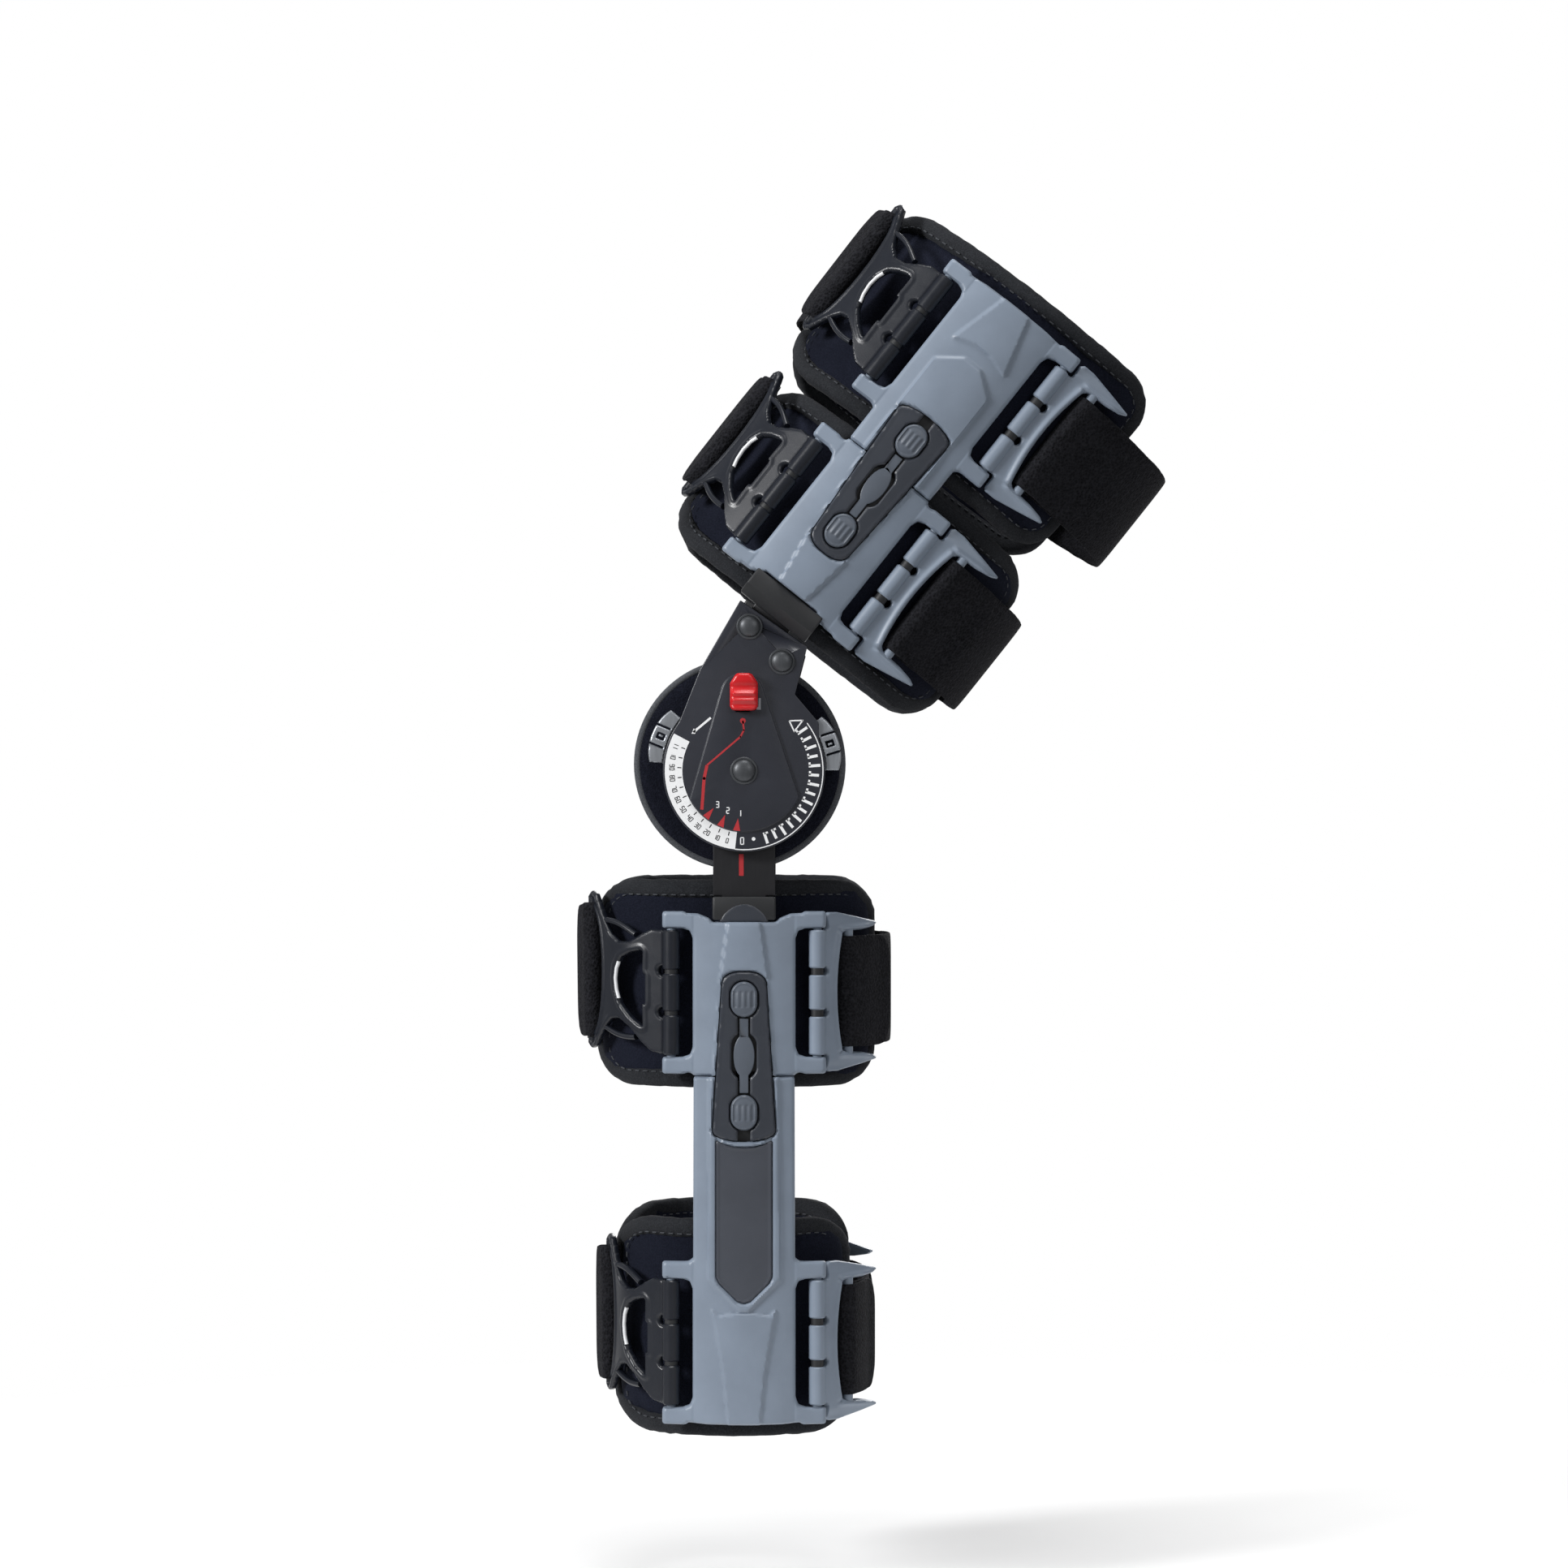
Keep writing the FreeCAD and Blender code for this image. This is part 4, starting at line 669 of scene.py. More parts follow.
# ---------------------------------------------------------------- panels, buttons and badges
def make_panel(limb, side):
    """The panel with a keyhole slot between its two button openings."""
    start = NEAR[limb] + PANEL_START
    near_button, far_button = start + BUTTON_AT["near"], start + BUTTON_AT["far"]
    middle = (near_button + far_button) / 2
    region = without(polygon(panel_points(limb, -0.05)),
                     oval(0, near_button, 6.5, 8.5), oval(0, far_button, 6.5, 8.5),
                     oval(0, middle, 5.7, 10.5), band(0, 2.8, near_button, start + 90))
    rim = inside_of(polygon(panel_points(limb, -1.6)), 1.2)
    top = lambda x, u: 12.9 - 1.1 * (x / 14.0) ** 2 - 0.15 * rim(x, u)
    shape = Shape()
    shape.add(relief(region, ticks(-14.8, 14.8, 0.55), ticks(start - 0.5, start + 77, 0.7),
                     top, flat(9.6), 0.7, 0.2))
    obj = build(f"{side}_{limb}_button_panel", shape, on_limb(limb, SIDES[side]), [PANEL])
    finish_piece(obj, f"{limb}_frame", "panel_plastic", f"{limb}_button_panels")


def make_button(limb, side, word):
    """A domed oval button with a lip and grip ribs."""
    middle = NEAR[limb] + PANEL_START + BUTTON_AT[word]
    grip = inside_of(band(0, 5.2, middle - 3.6, middle + 3.6), 0.8)
    lip = inside_of(oval(0, middle, 4.9, 6.9), 0.7)

    def top(x, u):
        dome = 14.5 - 1.1 * (x / 6.0) ** 2 - 1.1 * ((u - middle) / 8.0) ** 2
        ribs = 0.45 * grip(x, u) * (0.5 + 0.5 * np.cos(x * 2 * math.pi / 2.6))
        return dome - 0.35 * lip(x, u) - 0.35 * grip(x, u) + ribs

    shape = Shape()
    shape.add(relief(oval(0, middle, 6.0, 8.0), ticks(-6.4, 6.4, 0.35),
                     ticks(middle - 8.4, middle + 8.4, 0.4), top, flat(11.4), 1.0, 0.2))
    name = f"{side}_{limb}_{word}_button"
    obj = build(f"{name}_cap", shape, on_limb(limb, SIDES[side]), [KEY])
    finish_piece(obj, name, "key_plastic", name)


def make_badge(side):
    inner = inside_of(polygon(badge_points(-1.3)), 0.8)
    top = lambda x, u: 12.1 - 0.9 * (x / 13) ** 2 - 0.3 * inner(x, u)
    shape = Shape()
    shape.add(relief(polygon(badge_points(0.0)), ticks(-13, 13, 0.5), ticks(160, 241, 0.6),
                     top, flat(10.0), 0.5, 0.2))
    obj = build(f"{side}_badge_plate", shape, on_limb("shank", SIDES[side]), [BADGE])
    finish_piece(obj, "shank_slide", "panel_plastic", "badges")


for limb in ("thigh", "shank"):
    for side in SIDES:
        make_panel(limb, side)
    for side in SIDES:
        for word in BUTTON_AT:
            make_button(limb, side, word)
for side in SIDES:
    make_badge(side)


# ---------------------------------------------------------------- cuff pads
PAD_MIDDLE, PAD_HALF = 3.0, 3.9
SWELL_LIMIT, SHRINK, VOXEL = 0.0026, 0.0008, 0.0042
CLOTH_STEPS, CLOTH_PRESSURE = 20, 4.0


def pad_surface(level, x, lift):
    """Depth of the pad at x, lift millimetres out from the skin."""
    long, wide = level.deep + lift, level.wide + lift
    return wide * np.sqrt(np.maximum(1 - ((x - level.centre) / long) ** 2, 1e-6))


def pad_edge(level, room, step):
    """The pad's outline evenly spaced along the skin, room inside its edge, and outward normals."""
    near, far, front, back = level.pad
    low, high = sorted((UP[level.limb] * near, UP[level.limb] * far))
    x0, x1 = level.centre - front + room, level.centre + back - room
    z0, z1 = low + room, high - room
    points = rounded([(x0, z0), (x1, z0), (x1, z1), (x0, z1)], max(16 - room, 3), 10)
    points = resample(np.array(points), 1.0, closed=True)
    place = lambda p: np.stack([p[:, 0], pad_surface(level, p[:, 0], PAD_MIDDLE), p[:, 1]], 1)
    points = resample(np.c_[place(points), points], step, closed=True)[:, 3:]
    path = place(points)
    slope = np.stack([(points[:, 0] - level.centre) / (level.deep + PAD_MIDDLE) ** 2,
                      path[:, 1] / (level.wide + PAD_MIDDLE) ** 2, np.zeros(len(path))], 1)
    return path, slope / np.linalg.norm(slope, axis=1)[:, None]


def round_bar(half_n, low, high, steps=5, power=2.6):
    """A soft rectangular section in (normal, side) pairs."""
    middle, half = (low + high) / 2, (high - low) / 2
    pairs = []
    for k in range(steps * 4):
        t = 2 * math.pi * k / (steps * 4)
        c, s = math.cos(t), math.sin(t)
        pairs.append((half_n * math.copysign(abs(s) ** (2 / power), s),
                      middle + half * math.copysign(abs(c) ** (2 / power), c)))
    return np.array(pairs)


def bind_pad(level, side):
    """The tape sewn round a pad's edge, and its stitches on both faces."""
    path, normals = pad_edge(level, 0.0, 3.0)
    across = np.cross(np.roll(path, -1, 0) - np.roll(path, 1, 0), normals)
    if (across * (path - path.mean(0))).sum() < 0:
        path, normals = path[::-1], normals[::-1]
    rng = np.random.default_rng(len(level.name) + len(side))
    sections = np.repeat(round_bar(PAD_HALF, -8.0, 0.7)[None], len(path), 0)
    sections[:, :, 0] *= 1 + 0.03 * rng.standard_normal(len(path))[:, None]
    sections[:, :, 1] += 0.12 * rng.standard_normal(len(path))[:, None]
    shape = Shape()
    shape.add(sweep(path, normals, sections, closed=True))
    inner, inner_normals = pad_edge(level, 6.3, 2.2)
    thread = round_bar(0.35, -0.3, 0.3, 2, 2)
    for k in range(0, len(inner) - 1, 2):
        out = inner_normals[k : k + 2]
        for lift in (PAD_HALF + 0.05, -PAD_HALF - 0.05):
            shape.add(sweep(inner[k : k + 2] + out * lift, out, thread), 1)
    obj = build(f"{level.name}_{side}_pad_binding", shape, to_row(level.limb, SIDES[side]),
                [BINDING, STITCH], 60)
    finish_piece(obj, level.body, "pad_fabric")


def read_points(mesh, what="co"):
    values = np.zeros(len(mesh.vertices) * 3)
    mesh.vertices.foreach_get(what, values)
    return values.reshape(-1, 3)


def blow_up(pad):
    """Steps a cloth simulation with pressure inside, and returns where its vertices end."""
    cloth = pad.modifiers.new("cloth", "CLOTH")
    settings = cloth.settings
    settings.use_pressure, settings.uniform_pressure_force = True, CLOTH_PRESSURE
    settings.effector_weights.gravity = 0
    settings.quality = 5
    settings.tension_stiffness = settings.compression_stiffness = 20
    cloth.collision_settings.use_collision = False
    scene = bpy.context.scene
    scene.frame_start, scene.frame_end = 1, CLOTH_STEPS
    cloth.point_cache.frame_start, cloth.point_cache.frame_end = 1, CLOTH_STEPS
    for step in range(1, CLOTH_STEPS + 1):
        scene.frame_set(step)
    moved = read_points(pad.evaluated_get(bpy.context.evaluated_depsgraph_get()).to_mesh())
    pad.modifiers.remove(cloth)
    scene.frame_set(1)
    return moved


def swell_pad(level):
    """The level's two pads as cloth skins blown up by pressure, with their swelling limited."""
    node = f"{level.name}_pads"
    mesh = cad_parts[node].data.copy()
    pad = bpy.data.objects.new(f"{node}_cloth", mesh)
    bpy.context.scene.collection.objects.link(pad)
    mesh.materials.clear()
    mesh.materials.append(PAD)
    bm = bmesh.new()
    bm.from_mesh(mesh)
    bmesh.ops.remove_doubles(bm, verts=bm.verts, dist=1e-5)
    bm.to_mesh(mesh)
    bm.free()
    bpy.context.view_layer.objects.active = pad
    remesh = pad.modifiers.new("remesh", "REMESH")
    remesh.mode, remesh.voxel_size = "VOXEL", VOXEL
    bake(pad)
    start = read_points(pad.data) - read_points(pad.data, "normal") * SHRINK
    pad.data.vertices.foreach_set("co", start.ravel())
    shift = blow_up(pad) - start
    length = np.linalg.norm(shift, axis=1)[:, None]
    moved = start + shift * np.minimum(1, SWELL_LIMIT / np.maximum(length, 1e-9))
    pad.data.vertices.foreach_set("co", moved.ravel())
    pad.data.polygons.foreach_set("use_smooth", [True] * len(pad.data.polygons))
    smooth = pad.modifiers.new("smooth", "SUBSURF")
    smooth.levels = smooth.render_levels = 1
    bake(pad)
    finish_piece(pad, level.body, "pad_fabric", node)


def bake(obj):
    """Replaces an object's mesh with its shape after modifiers."""
    bpy.context.view_layer.update()
    graph = bpy.context.evaluated_depsgraph_get()
    mesh = bpy.data.meshes.new_from_object(obj.evaluated_get(graph))
    obj.modifiers.clear()
    obj.data = mesh


for level in LEVELS:
    swell_pad(level)
    for side in SIDES:
        bind_pad(level, side)


# ---------------------------------------------------------------- hinge
def on_hinge(side):
    """Maps (x back, z up, depth) about the knee axis, in the row frame."""
    return lambda p: np.stack([p[:, 0], SIDES[side] * p[:, 2], p[:, 1]], 1) * 0.001


def spin(points, degrees):
    """Turns (x, y) points about the origin."""
    c, s = math.cos(math.radians(degrees)), math.sin(math.radians(degrees))
    return np.asarray(points, float) @ np.array([[c, s], [-s, c]])


def circle(centre, radius, count=12):
    return [np.array(centre) + radius * np.array([math.cos(t), math.sin(t)])
            for t in np.arange(count) * 2 * math.pi / count]


def slab(shape, outline, low, high, material=0):
    """A flat printed or moulded patch with a given outline."""
    outline = np.asarray(outline, float)
    n = len(outline)
    verts = np.concatenate([np.c_[outline, np.full(n, high)], np.c_[outline, np.full(n, low)]])
    faces = [tuple(range(n)), tuple(range(2 * n - 1, n - 1, -1))]
    faces += [(i, (i + 1) % n, n + (i + 1) % n, n + i) for i in range(n)]
    shape.add((verts, faces), material)


def stroke(shape, points, width, low, high, material=0):
    """A drawn line of even width along points, as short slabs with round joints."""
    points = np.asarray(points, float)
    for a, b in zip(points[:-1], points[1:]):
        along = (b - a) / np.linalg.norm(b - a)
        side = np.array([-along[1], along[0]]) * width / 2
        slab(shape, [a + side, a - side, b - side, b + side], low, high, material)
    for p in points[1:-1]:
        slab(shape, circle(p, width / 2, 10), low, high, material)


def at_angle(radius, degrees):
    """A point on the dial; degrees run from straight down, to the front if negative."""
    t = math.radians(degrees)
    return np.array([radius * math.sin(t), -radius * math.cos(t)])


def ring_patch(shape, inner, outer, start, end, low, high, material=0):
    """A patch between two radii and two angles."""
    steps = max(2, int(abs(end - start) / 3))
    angles = np.linspace(start, end, steps + 1)
    for a, b in zip(angles[:-1], angles[1:]):
        corners = [at_angle(inner, a), at_angle(outer, a), at_angle(outer, b), at_angle(inner, b)]
        slab(shape, corners, low, high, material)


SEGMENTS = {"0": "abcdef", "1": "bc", "2": "abged", "3": "abgcd", "4": "fgbc", "5": "afgcd",
            "6": "afgedc", "7": "abc", "8": "abcdefg", "9": "abcdfg"}
LINES = {"a": ((0, 2), (1, 2)), "b": ((1, 2), (1, 1)), "c": ((1, 1), (1, 0)), "d": ((0, 0), (1, 0)),
         "e": ((0, 0), (0, 1)), "f": ((0, 1), (0, 2)), "g": ((0, 1), (1, 1))}


def number(shape, text, centre, turn, tall, low, high, material=0):
    """Plain seven-stroke digits, centred on a point."""
    wide, gap = tall * 0.45, tall * 0.28
    total = len(text) * wide + (len(text) - 1) * gap
    for k, digit in enumerate(text):
        left = -total / 2 + k * (wide + gap)
        for line in SEGMENTS[digit]:
            ends = [(left + wide * u, tall * (v / 2 - 0.5)) for u, v in LINES[line]]
            stroke(shape, spin(ends, turn) + centre, tall * 0.16, low, high, material)


def dial_print(side):
    """The dial's scales, of degrees to the front and ticks to the back, and the cover's arrows."""
    white, red, black = 0, 1, 2
    rim, cover, ink = 72.15, 73.35, 0.10
    on_rim, on_top, on_cover = (rim, rim + 0.12), (rim, rim + 0.15), (cover, cover + ink)
    shape = Shape()
    ring_patch(shape, 27.7, 35.6, -118, -6.5, rim, rim + ink, white)
    for k in range(12):
        angle = -13.5 - k * 8.8
        number(shape, str(k * 10)[:2], at_angle(32.4, angle), angle, 2.1, *on_top, black)
        stroke(shape, [at_angle(28.2, angle), at_angle(30.0, angle)], 0.45, *on_top, black)
    for k in range(15):
        angle = 18.0 + k * 7.6
        long = 4.6 if k % 2 else 5.2
        stroke(shape, [at_angle(29.2, angle), at_angle(29.2 + long, angle)], 1.25, *on_rim)
        stroke(shape, [at_angle(29.7, angle), at_angle(29.7, angle + 3.2)], 0.9, *on_rim)
    ring_patch(shape, 35.3, 35.75, -6.5, 127, rim, rim + ink)
    slab(shape, circle(at_angle(31.0, 8), 0.85), *on_rim)
    number(shape, "0", at_angle(31.6, -1.5), 0, 3.0, *on_rim)
    stroke(shape, [(20.4, 22.4), (26.4, 22.6), (22.6, 17.6), (20.4, 22.4)], 0.6, *on_rim)
    stroke(shape, [(-22.8, 17.2), (-14.9, 23.8)], 1.0, *on_rim)
    slab(shape, [(-23.6, 16.6), (-21.9, 16.6), (-21.7, 18.4), (-22.6, 18.9)], *on_rim)
    path = [(-0.5, 22.4), (0.0, 18.2), (-1.6, 15.2), (-16.6, 2.4), (-17.9, -3.5), (-18.9, -17.5)]
    stroke(shape, path[:4], 0.8, *on_cover, red)
    stroke(shape, path[3:], 1.4, *on_cover, red)
    slab(shape, circle(path[0], 1.3), *on_cover, red)
    for digit, angle in (("3", -39), ("2", -23), ("1", -7)):
        arrow = [at_angle(21.6, angle), at_angle(27.2, angle - 3.4), at_angle(27.2, angle + 3.4)]
        slab(shape, arrow, *on_cover, red)
        number(shape, digit, at_angle(19.3, angle + 1), 0, 2.6, *on_cover, white)
    inks = [PRINT_WHITE, PRINT_RED, PRINT_BLACK]
    obj = build(f"{side}_dial_print", shape, on_hinge(side), inks, 30)
    finish_piece(obj, "thigh_frame", "cover_plastic")
    index = Shape()
    slab(index, [(-2.3, -37.6), (-0.2, -37.6), (-0.2, -47.4), (-2.3, -47.4)], 65.4, 65.6)
    obj = build(f"{side}_index_print", index, on_hinge(side), [PRINT_RED], 30)
    finish_piece(obj, "shank_frame", "arm_metal")


def dome(radius, low, seat, high):
    """Profile of a domed rivet head with a rolled rim."""
    profile = [(0, low), (radius, low), (radius, seat), (radius - 0.35, seat + 0.35),
               (radius - 0.95, seat + 0.3), (radius - 1.15, seat + 0.1)]
    for k in range(9):
        t = math.pi / 2 * k / 8
        rise = (high - seat - 0.2) * math.sin(t)
        profile.append(((radius - 1.2) * math.cos(t), seat + 0.2 + rise))
    profile[-1] = (0, high)
    return profile


def rivet_heads(side):
    """Two rivets on the thigh plate, and the larger one on the knee's axis."""
    shape = Shape()
    for x, z in ((-38.4, 52.3), (-17.2, 49.0)):
        shape.add(upright(lathe(dome(5.9, 70, 72.5, 75.0), 36), (x, 0, z)))
    obj = build(f"{side}_arm_rivet_heads", shape, to_row("thigh", SIDES[side]), [RIVET], 30)
    finish_piece(obj, "thigh_frame", "rivet_metal", "arm_rivets")
    shape = Shape()
    shape.add(lathe(dome(6.2, 70, 73.6, 76.2), 36))
    obj = build(f"{side}_pivot_head", shape, on_hinge(side), [RIVET], 30)
    finish_piece(obj, "thigh_frame", "rivet_metal", "pivot_rivets")


def drop_lock(side):
    """Red slider with a rounded top and grip ribs, and a bright tab at its lower corner."""
    half, low, high = 6.3, 27.0, 43.8
    arch = rounded([(-half, low), (half, low), (half, high - 4.5), (3.4, high), (-3.4, high),
                    (-half, high - 4.5)], 2.4, 4)
    grip = inside_of(band(0, 5.2, 20, 50), 1.2)

    def top(x, z):
        body = 78.1 - 0.9 * (x / half) ** 2
        rib = sum(0.8 * np.exp(-(((z - c) / 0.75) ** 2)) for c in (31.6, 34.6))
        scoop = 0.9 * np.exp(-(((z - 37.6) / 1.6) ** 2)) + 0.7 * np.exp(-(((z - 29.4) / 0.8) ** 2))
        return body + rib * grip(x, z) - scoop

    shape = Shape()
    shape.add(relief(polygon(arch), ticks(-6.6, 6.6, 0.4), ticks(26.6, 44.2, 0.35), top,
                     flat(73.6), 1.5, 0.2))
    obj = build(f"{side}_drop_lock_slider", shape, on_hinge(side), [LOCK])
    finish_piece(obj, f"{side}_drop_lock", "lock_plastic", f"{side}_drop_lock")
    tab = Shape()
    corners = [(5.6, 27.4), (7.6, 27.4), (7.6, 32.6), (6.6, 32.6), (6.5, 28.6), (5.6, 28.6)]
    slab(tab, corners, 73.3, 74.3)
    obj = build(f"{side}_lock_tab", tab, on_hinge(side), [STEEL], 30)
    finish_piece(obj, "thigh_frame", "stop_metal")


def range_stop(side, word, middle):
    """A range stop: three lugs on the rim, the middle one with a square eye."""

    def angle_of(x, z):
        return (np.degrees(np.arctan2(z, x)) - middle + 540) % 360 - 180

    def region(x, z):
        r, a = np.hypot(x, z), angle_of(x, z)
        outer = 44.6 - 1.9 * np.clip(np.abs(a) / 17, 0, 1) ** 2.4
        arc = np.maximum(r - outer, 31.8 - r)
        return np.maximum(arc, (np.abs(a) - 17.2) * math.pi / 180 * r)

    def cuts(x, z):
        r, a = np.hypot(x, z), angle_of(x, z)
        along = a * math.pi / 180 * r
        gaps = np.maximum(np.abs(np.abs(along) - 4.5) - 0.45, 37.9 - r)
        eye = np.maximum(np.abs(along) - 1.5, np.abs(r - 40.6) - 1.9)
        bar = np.maximum(np.abs(along + 0.2) - 0.5, np.abs(r - 40.6) - 1.0)
        return np.minimum(gaps, np.maximum(eye, -bar))

    def top(x, z):
        r, a = np.hypot(x, z), angle_of(x, z)
        lug = 71.5 - 0.5 * np.clip((r - 40) / 4.6, 0, 1) ** 2 - 0.9 * (np.abs(a) > 6.3)
        return np.where(r < 37.0, 69.0, lug)

    t = np.radians(np.linspace(middle - 18, middle + 18, 40))
    reach = np.concatenate([np.stack([r * np.cos(t), r * np.sin(t)], 1) for r in (31, 45.5)])
    shape = Shape()
    xs, zs = [ticks(values.min(), values.max(), 0.36) for values in reach.T]
    shape.add(relief(without(region, cuts), xs, zs, top, flat(66.2), 0.5, 0.2))
    name = f"{side}_{word}_stop"
    obj = build(f"{name}_lugs", shape, on_hinge(side), [STEEL])
    finish_piece(obj, name, "stop_metal", name)


def condyle_pad(side):
    """Round knee pad: brushed face, grey rolled edge."""
    face = [(0, 49.6), (44, 49.6), (46.4, 50.6), (47.2, 53), (47.2, 59.0), (46.6, 61.0),
            (44.8, 62.0), (40, 62.2), (0, 62.2)]
    shape = Shape()
    shape.add(lathe(face, 96))
    out = np.c_[np.array(circle((0, 0), 1.0, 96)), np.zeros(96)]
    ring = out * 46.2 + [0, 0, 60.4]
    shape.add(sweep(ring, out, round_bar(1.7, -1.7, 1.7, 4, 2), closed=True), 1)
    shape.verts += [-2.0, 3.0, 0]
    name = f"{side}_condyle_pad"
    obj = build(f"{name}_cover", shape, on_hinge(side), [CONDYLE, EDGE], 50)
    finish_piece(obj, "shank_frame", "pad_fabric", name)


def sleeve_tab(side):
    """Half-round thumb rest moulded on the shank sleeve where it meets the shell."""
    from_centre = lambda x, u: np.hypot(x, u - 71.5)
    shape = Shape()
    shape.add(relief(lambda x, u: np.maximum(from_centre(x, u) - 11.5, u - 68.2),
                     ticks(-12, 12, 0.6), ticks(59, 69, 0.5),
                     lambda x, u: 11.0 - 0.05 * from_centre(x, u), flat(9.6), 0.5, 0.2))
    obj = build(f"{side}_sleeve_tab", shape, on_limb("shank", SIDES[side]), [PANEL])
    finish_piece(obj, "shank_frame", "panel_plastic")


for side in SIDES:
    sleeve_tab(side)
    dial_print(side)
    rivet_heads(side)
    drop_lock(side)
    range_stop(side, "extension", 157.5)
    range_stop(side, "flexion", 17.5)
    condyle_pad(side)


# ---------------------------------------------------------------- buckles
def on_anchor(level, side, back, turn):
    """Maps (away from the pin, up, outwards) of a loop or buckle turned about its shell's pin."""
    row, t = to_row(level.limb, SIDES[side]), math.radians(turn)
    sign = 1 if back else -1

    def place(p):
        away, up, out = p[:, 0], p[:, 1], p[:, 2]
        x = AXIS[level.limb] + sign * (PIN_X + away * math.cos(t) + out * math.sin(t))
        depth = FACE[level.limb] + PIN_D - away * math.sin(t) + out * math.cos(t)
        return row(np.stack([x, depth, level.middle + up], 1))

    return place


def barrel(shape, radius, gap, shade_core_radius):
    """A split barrel round the shell's pin, in three lengths, with a near-black core painting the
    shade in its gaps.
    """
    for low, high in ((-28.2, -9.4 - gap), (gap - 9.4, 9.4 - gap), (9.4 + gap, 28.2)):
        shape.add(rod(radius, low, high, 0.6))
    # Painted shade: a near-black core over the pin, seen in the gaps between the barrel's lengths.
    shape.add(rod(shade_core_radius, -27, 27, 0.2), 1)


def lean(away):
    """How far the lever rises along the leg, away from its pin."""
    return BUCKLE_RISE * smooth_step(away / BUCKLE_REACH)


def sag(away):
    """How far the lever bows outwards, away from its pin."""
    return BUCKLE_SAG * np.sin(math.pi * np.clip(away / BUCKLE_REACH, 0, 1))


def buckle(level):
    """An X-shaped lever with a window, a crescent at its end, a strap rod and two wire springs."""
    half = [(2.5, 28.2), (9, 27.8), (14, 24.6), (20.5, 19.6), (27, 17.4), (32.5, 19.4), (39, 26.5),
            (45.5, 34.8), (50.5, 36.4), (52.6, 33.5), (52.0, 28.5)]
    crescent = [(48.6 - 9.0 * math.cos(v), 28.0 * math.sin(v))
                for v in np.radians(np.linspace(84, -84, 15))]
    plan = half + crescent + [(x, -y) for x, y in reversed(half)]
    window = [(13.0, 17.6), (13.4, 7.2), (11.8, 6.4), (11.8, -6.4), (13.4, -7.2), (13.0, -17.6),
              (20, -14.6), (25.6, -10.6), (28.8, -5.2), (29.6, 0), (28.8, 5.2), (25.6, 10.6),
              (20, 14.6)]
    outline, hole = polygon(rounded(plan, 1.6, 3)), polygon(rounded(window, 0.9, 3))
    region = without(outline, hole, *[oval(3.2, v, 2.4, 2.4) for v in (-9.4, 9.4)])
    beyond_hole = inside_of(lambda x, z: -(hole(x, z) - 2.6), 1.0)
    near_edge = inside_of(lambda x, z: -(outline(x, z) + 2.2), 1.0)

    def top(x, z):
        wing = 0.6 * smooth_step((x - 30) / 8) * near_edge(x, z)
        return sag(x) + 2.0 - 0.42 * beyond_hole(x, z) + wing - 0.5 * smooth_step((x - 44) / 6)

    shape = Shape()
    shape.add(relief(region, ticks(2.2, 52.4, 0.6), ticks(-36.8, 36.8, 0.6), top,
                     lambda x, z: sag(x) - 1.7, 1.1, 0.6))
    barrel(shape, 3.9, 1.0, 3.0)
    shape.add(rod(2.4, -33, 33, 0.4, (BUCKLE_REACH, 0, 0)))
    t = np.linspace(0, 1, 12)
    for sign in (-1, 1):
        path = np.stack([37.5 - 20 * t, sign * (24.4 - 1.2 * t + 1.4 * np.sin(math.pi * t)),
                         sag(37.5 - 20 * t) - 0.6 * np.sin(math.pi * t)], 1)
        shape.add(sweep(path, [0, 0, 1.0], round_bar(1.7, -1.3, 1.3, 3, 2.4)))
    # Painted highlight: a near-white strip along the window's far edge, standing in for a specular
    # reflection.
    arc = np.array([(27.0, -8.4), (28.6, -5.0), (29.4, 0), (28.6, 5.0), (27.0, 8.4)])
    arc = np.stack([np.interp(np.linspace(0, 4, 24), range(5), arc[:, k]) for k in (0, 1)], 1)
    path = np.c_[arc, sag(arc[:, 0]) + 1.0]
    shape.add(sweep(path, [0, 0, 1.0], round_bar(0.9, -0.8, 0.8, 3, 2)), 2)
    shape.verts[:, 1] += lean(shape.verts[:, 0])
    name = f"{level.name}_buckle"
    place = on_anchor(level, "lateral", False, level.turn)
    obj = build(f"{name}_lever", shape, place, [BUCKLE, DARK_AND_PAINTED_SHADE, PAINTED_HIGHLIGHT])
    finish_piece(obj, name, "buckle_plastic", name)


for level in LEVELS:
    buckle(level)


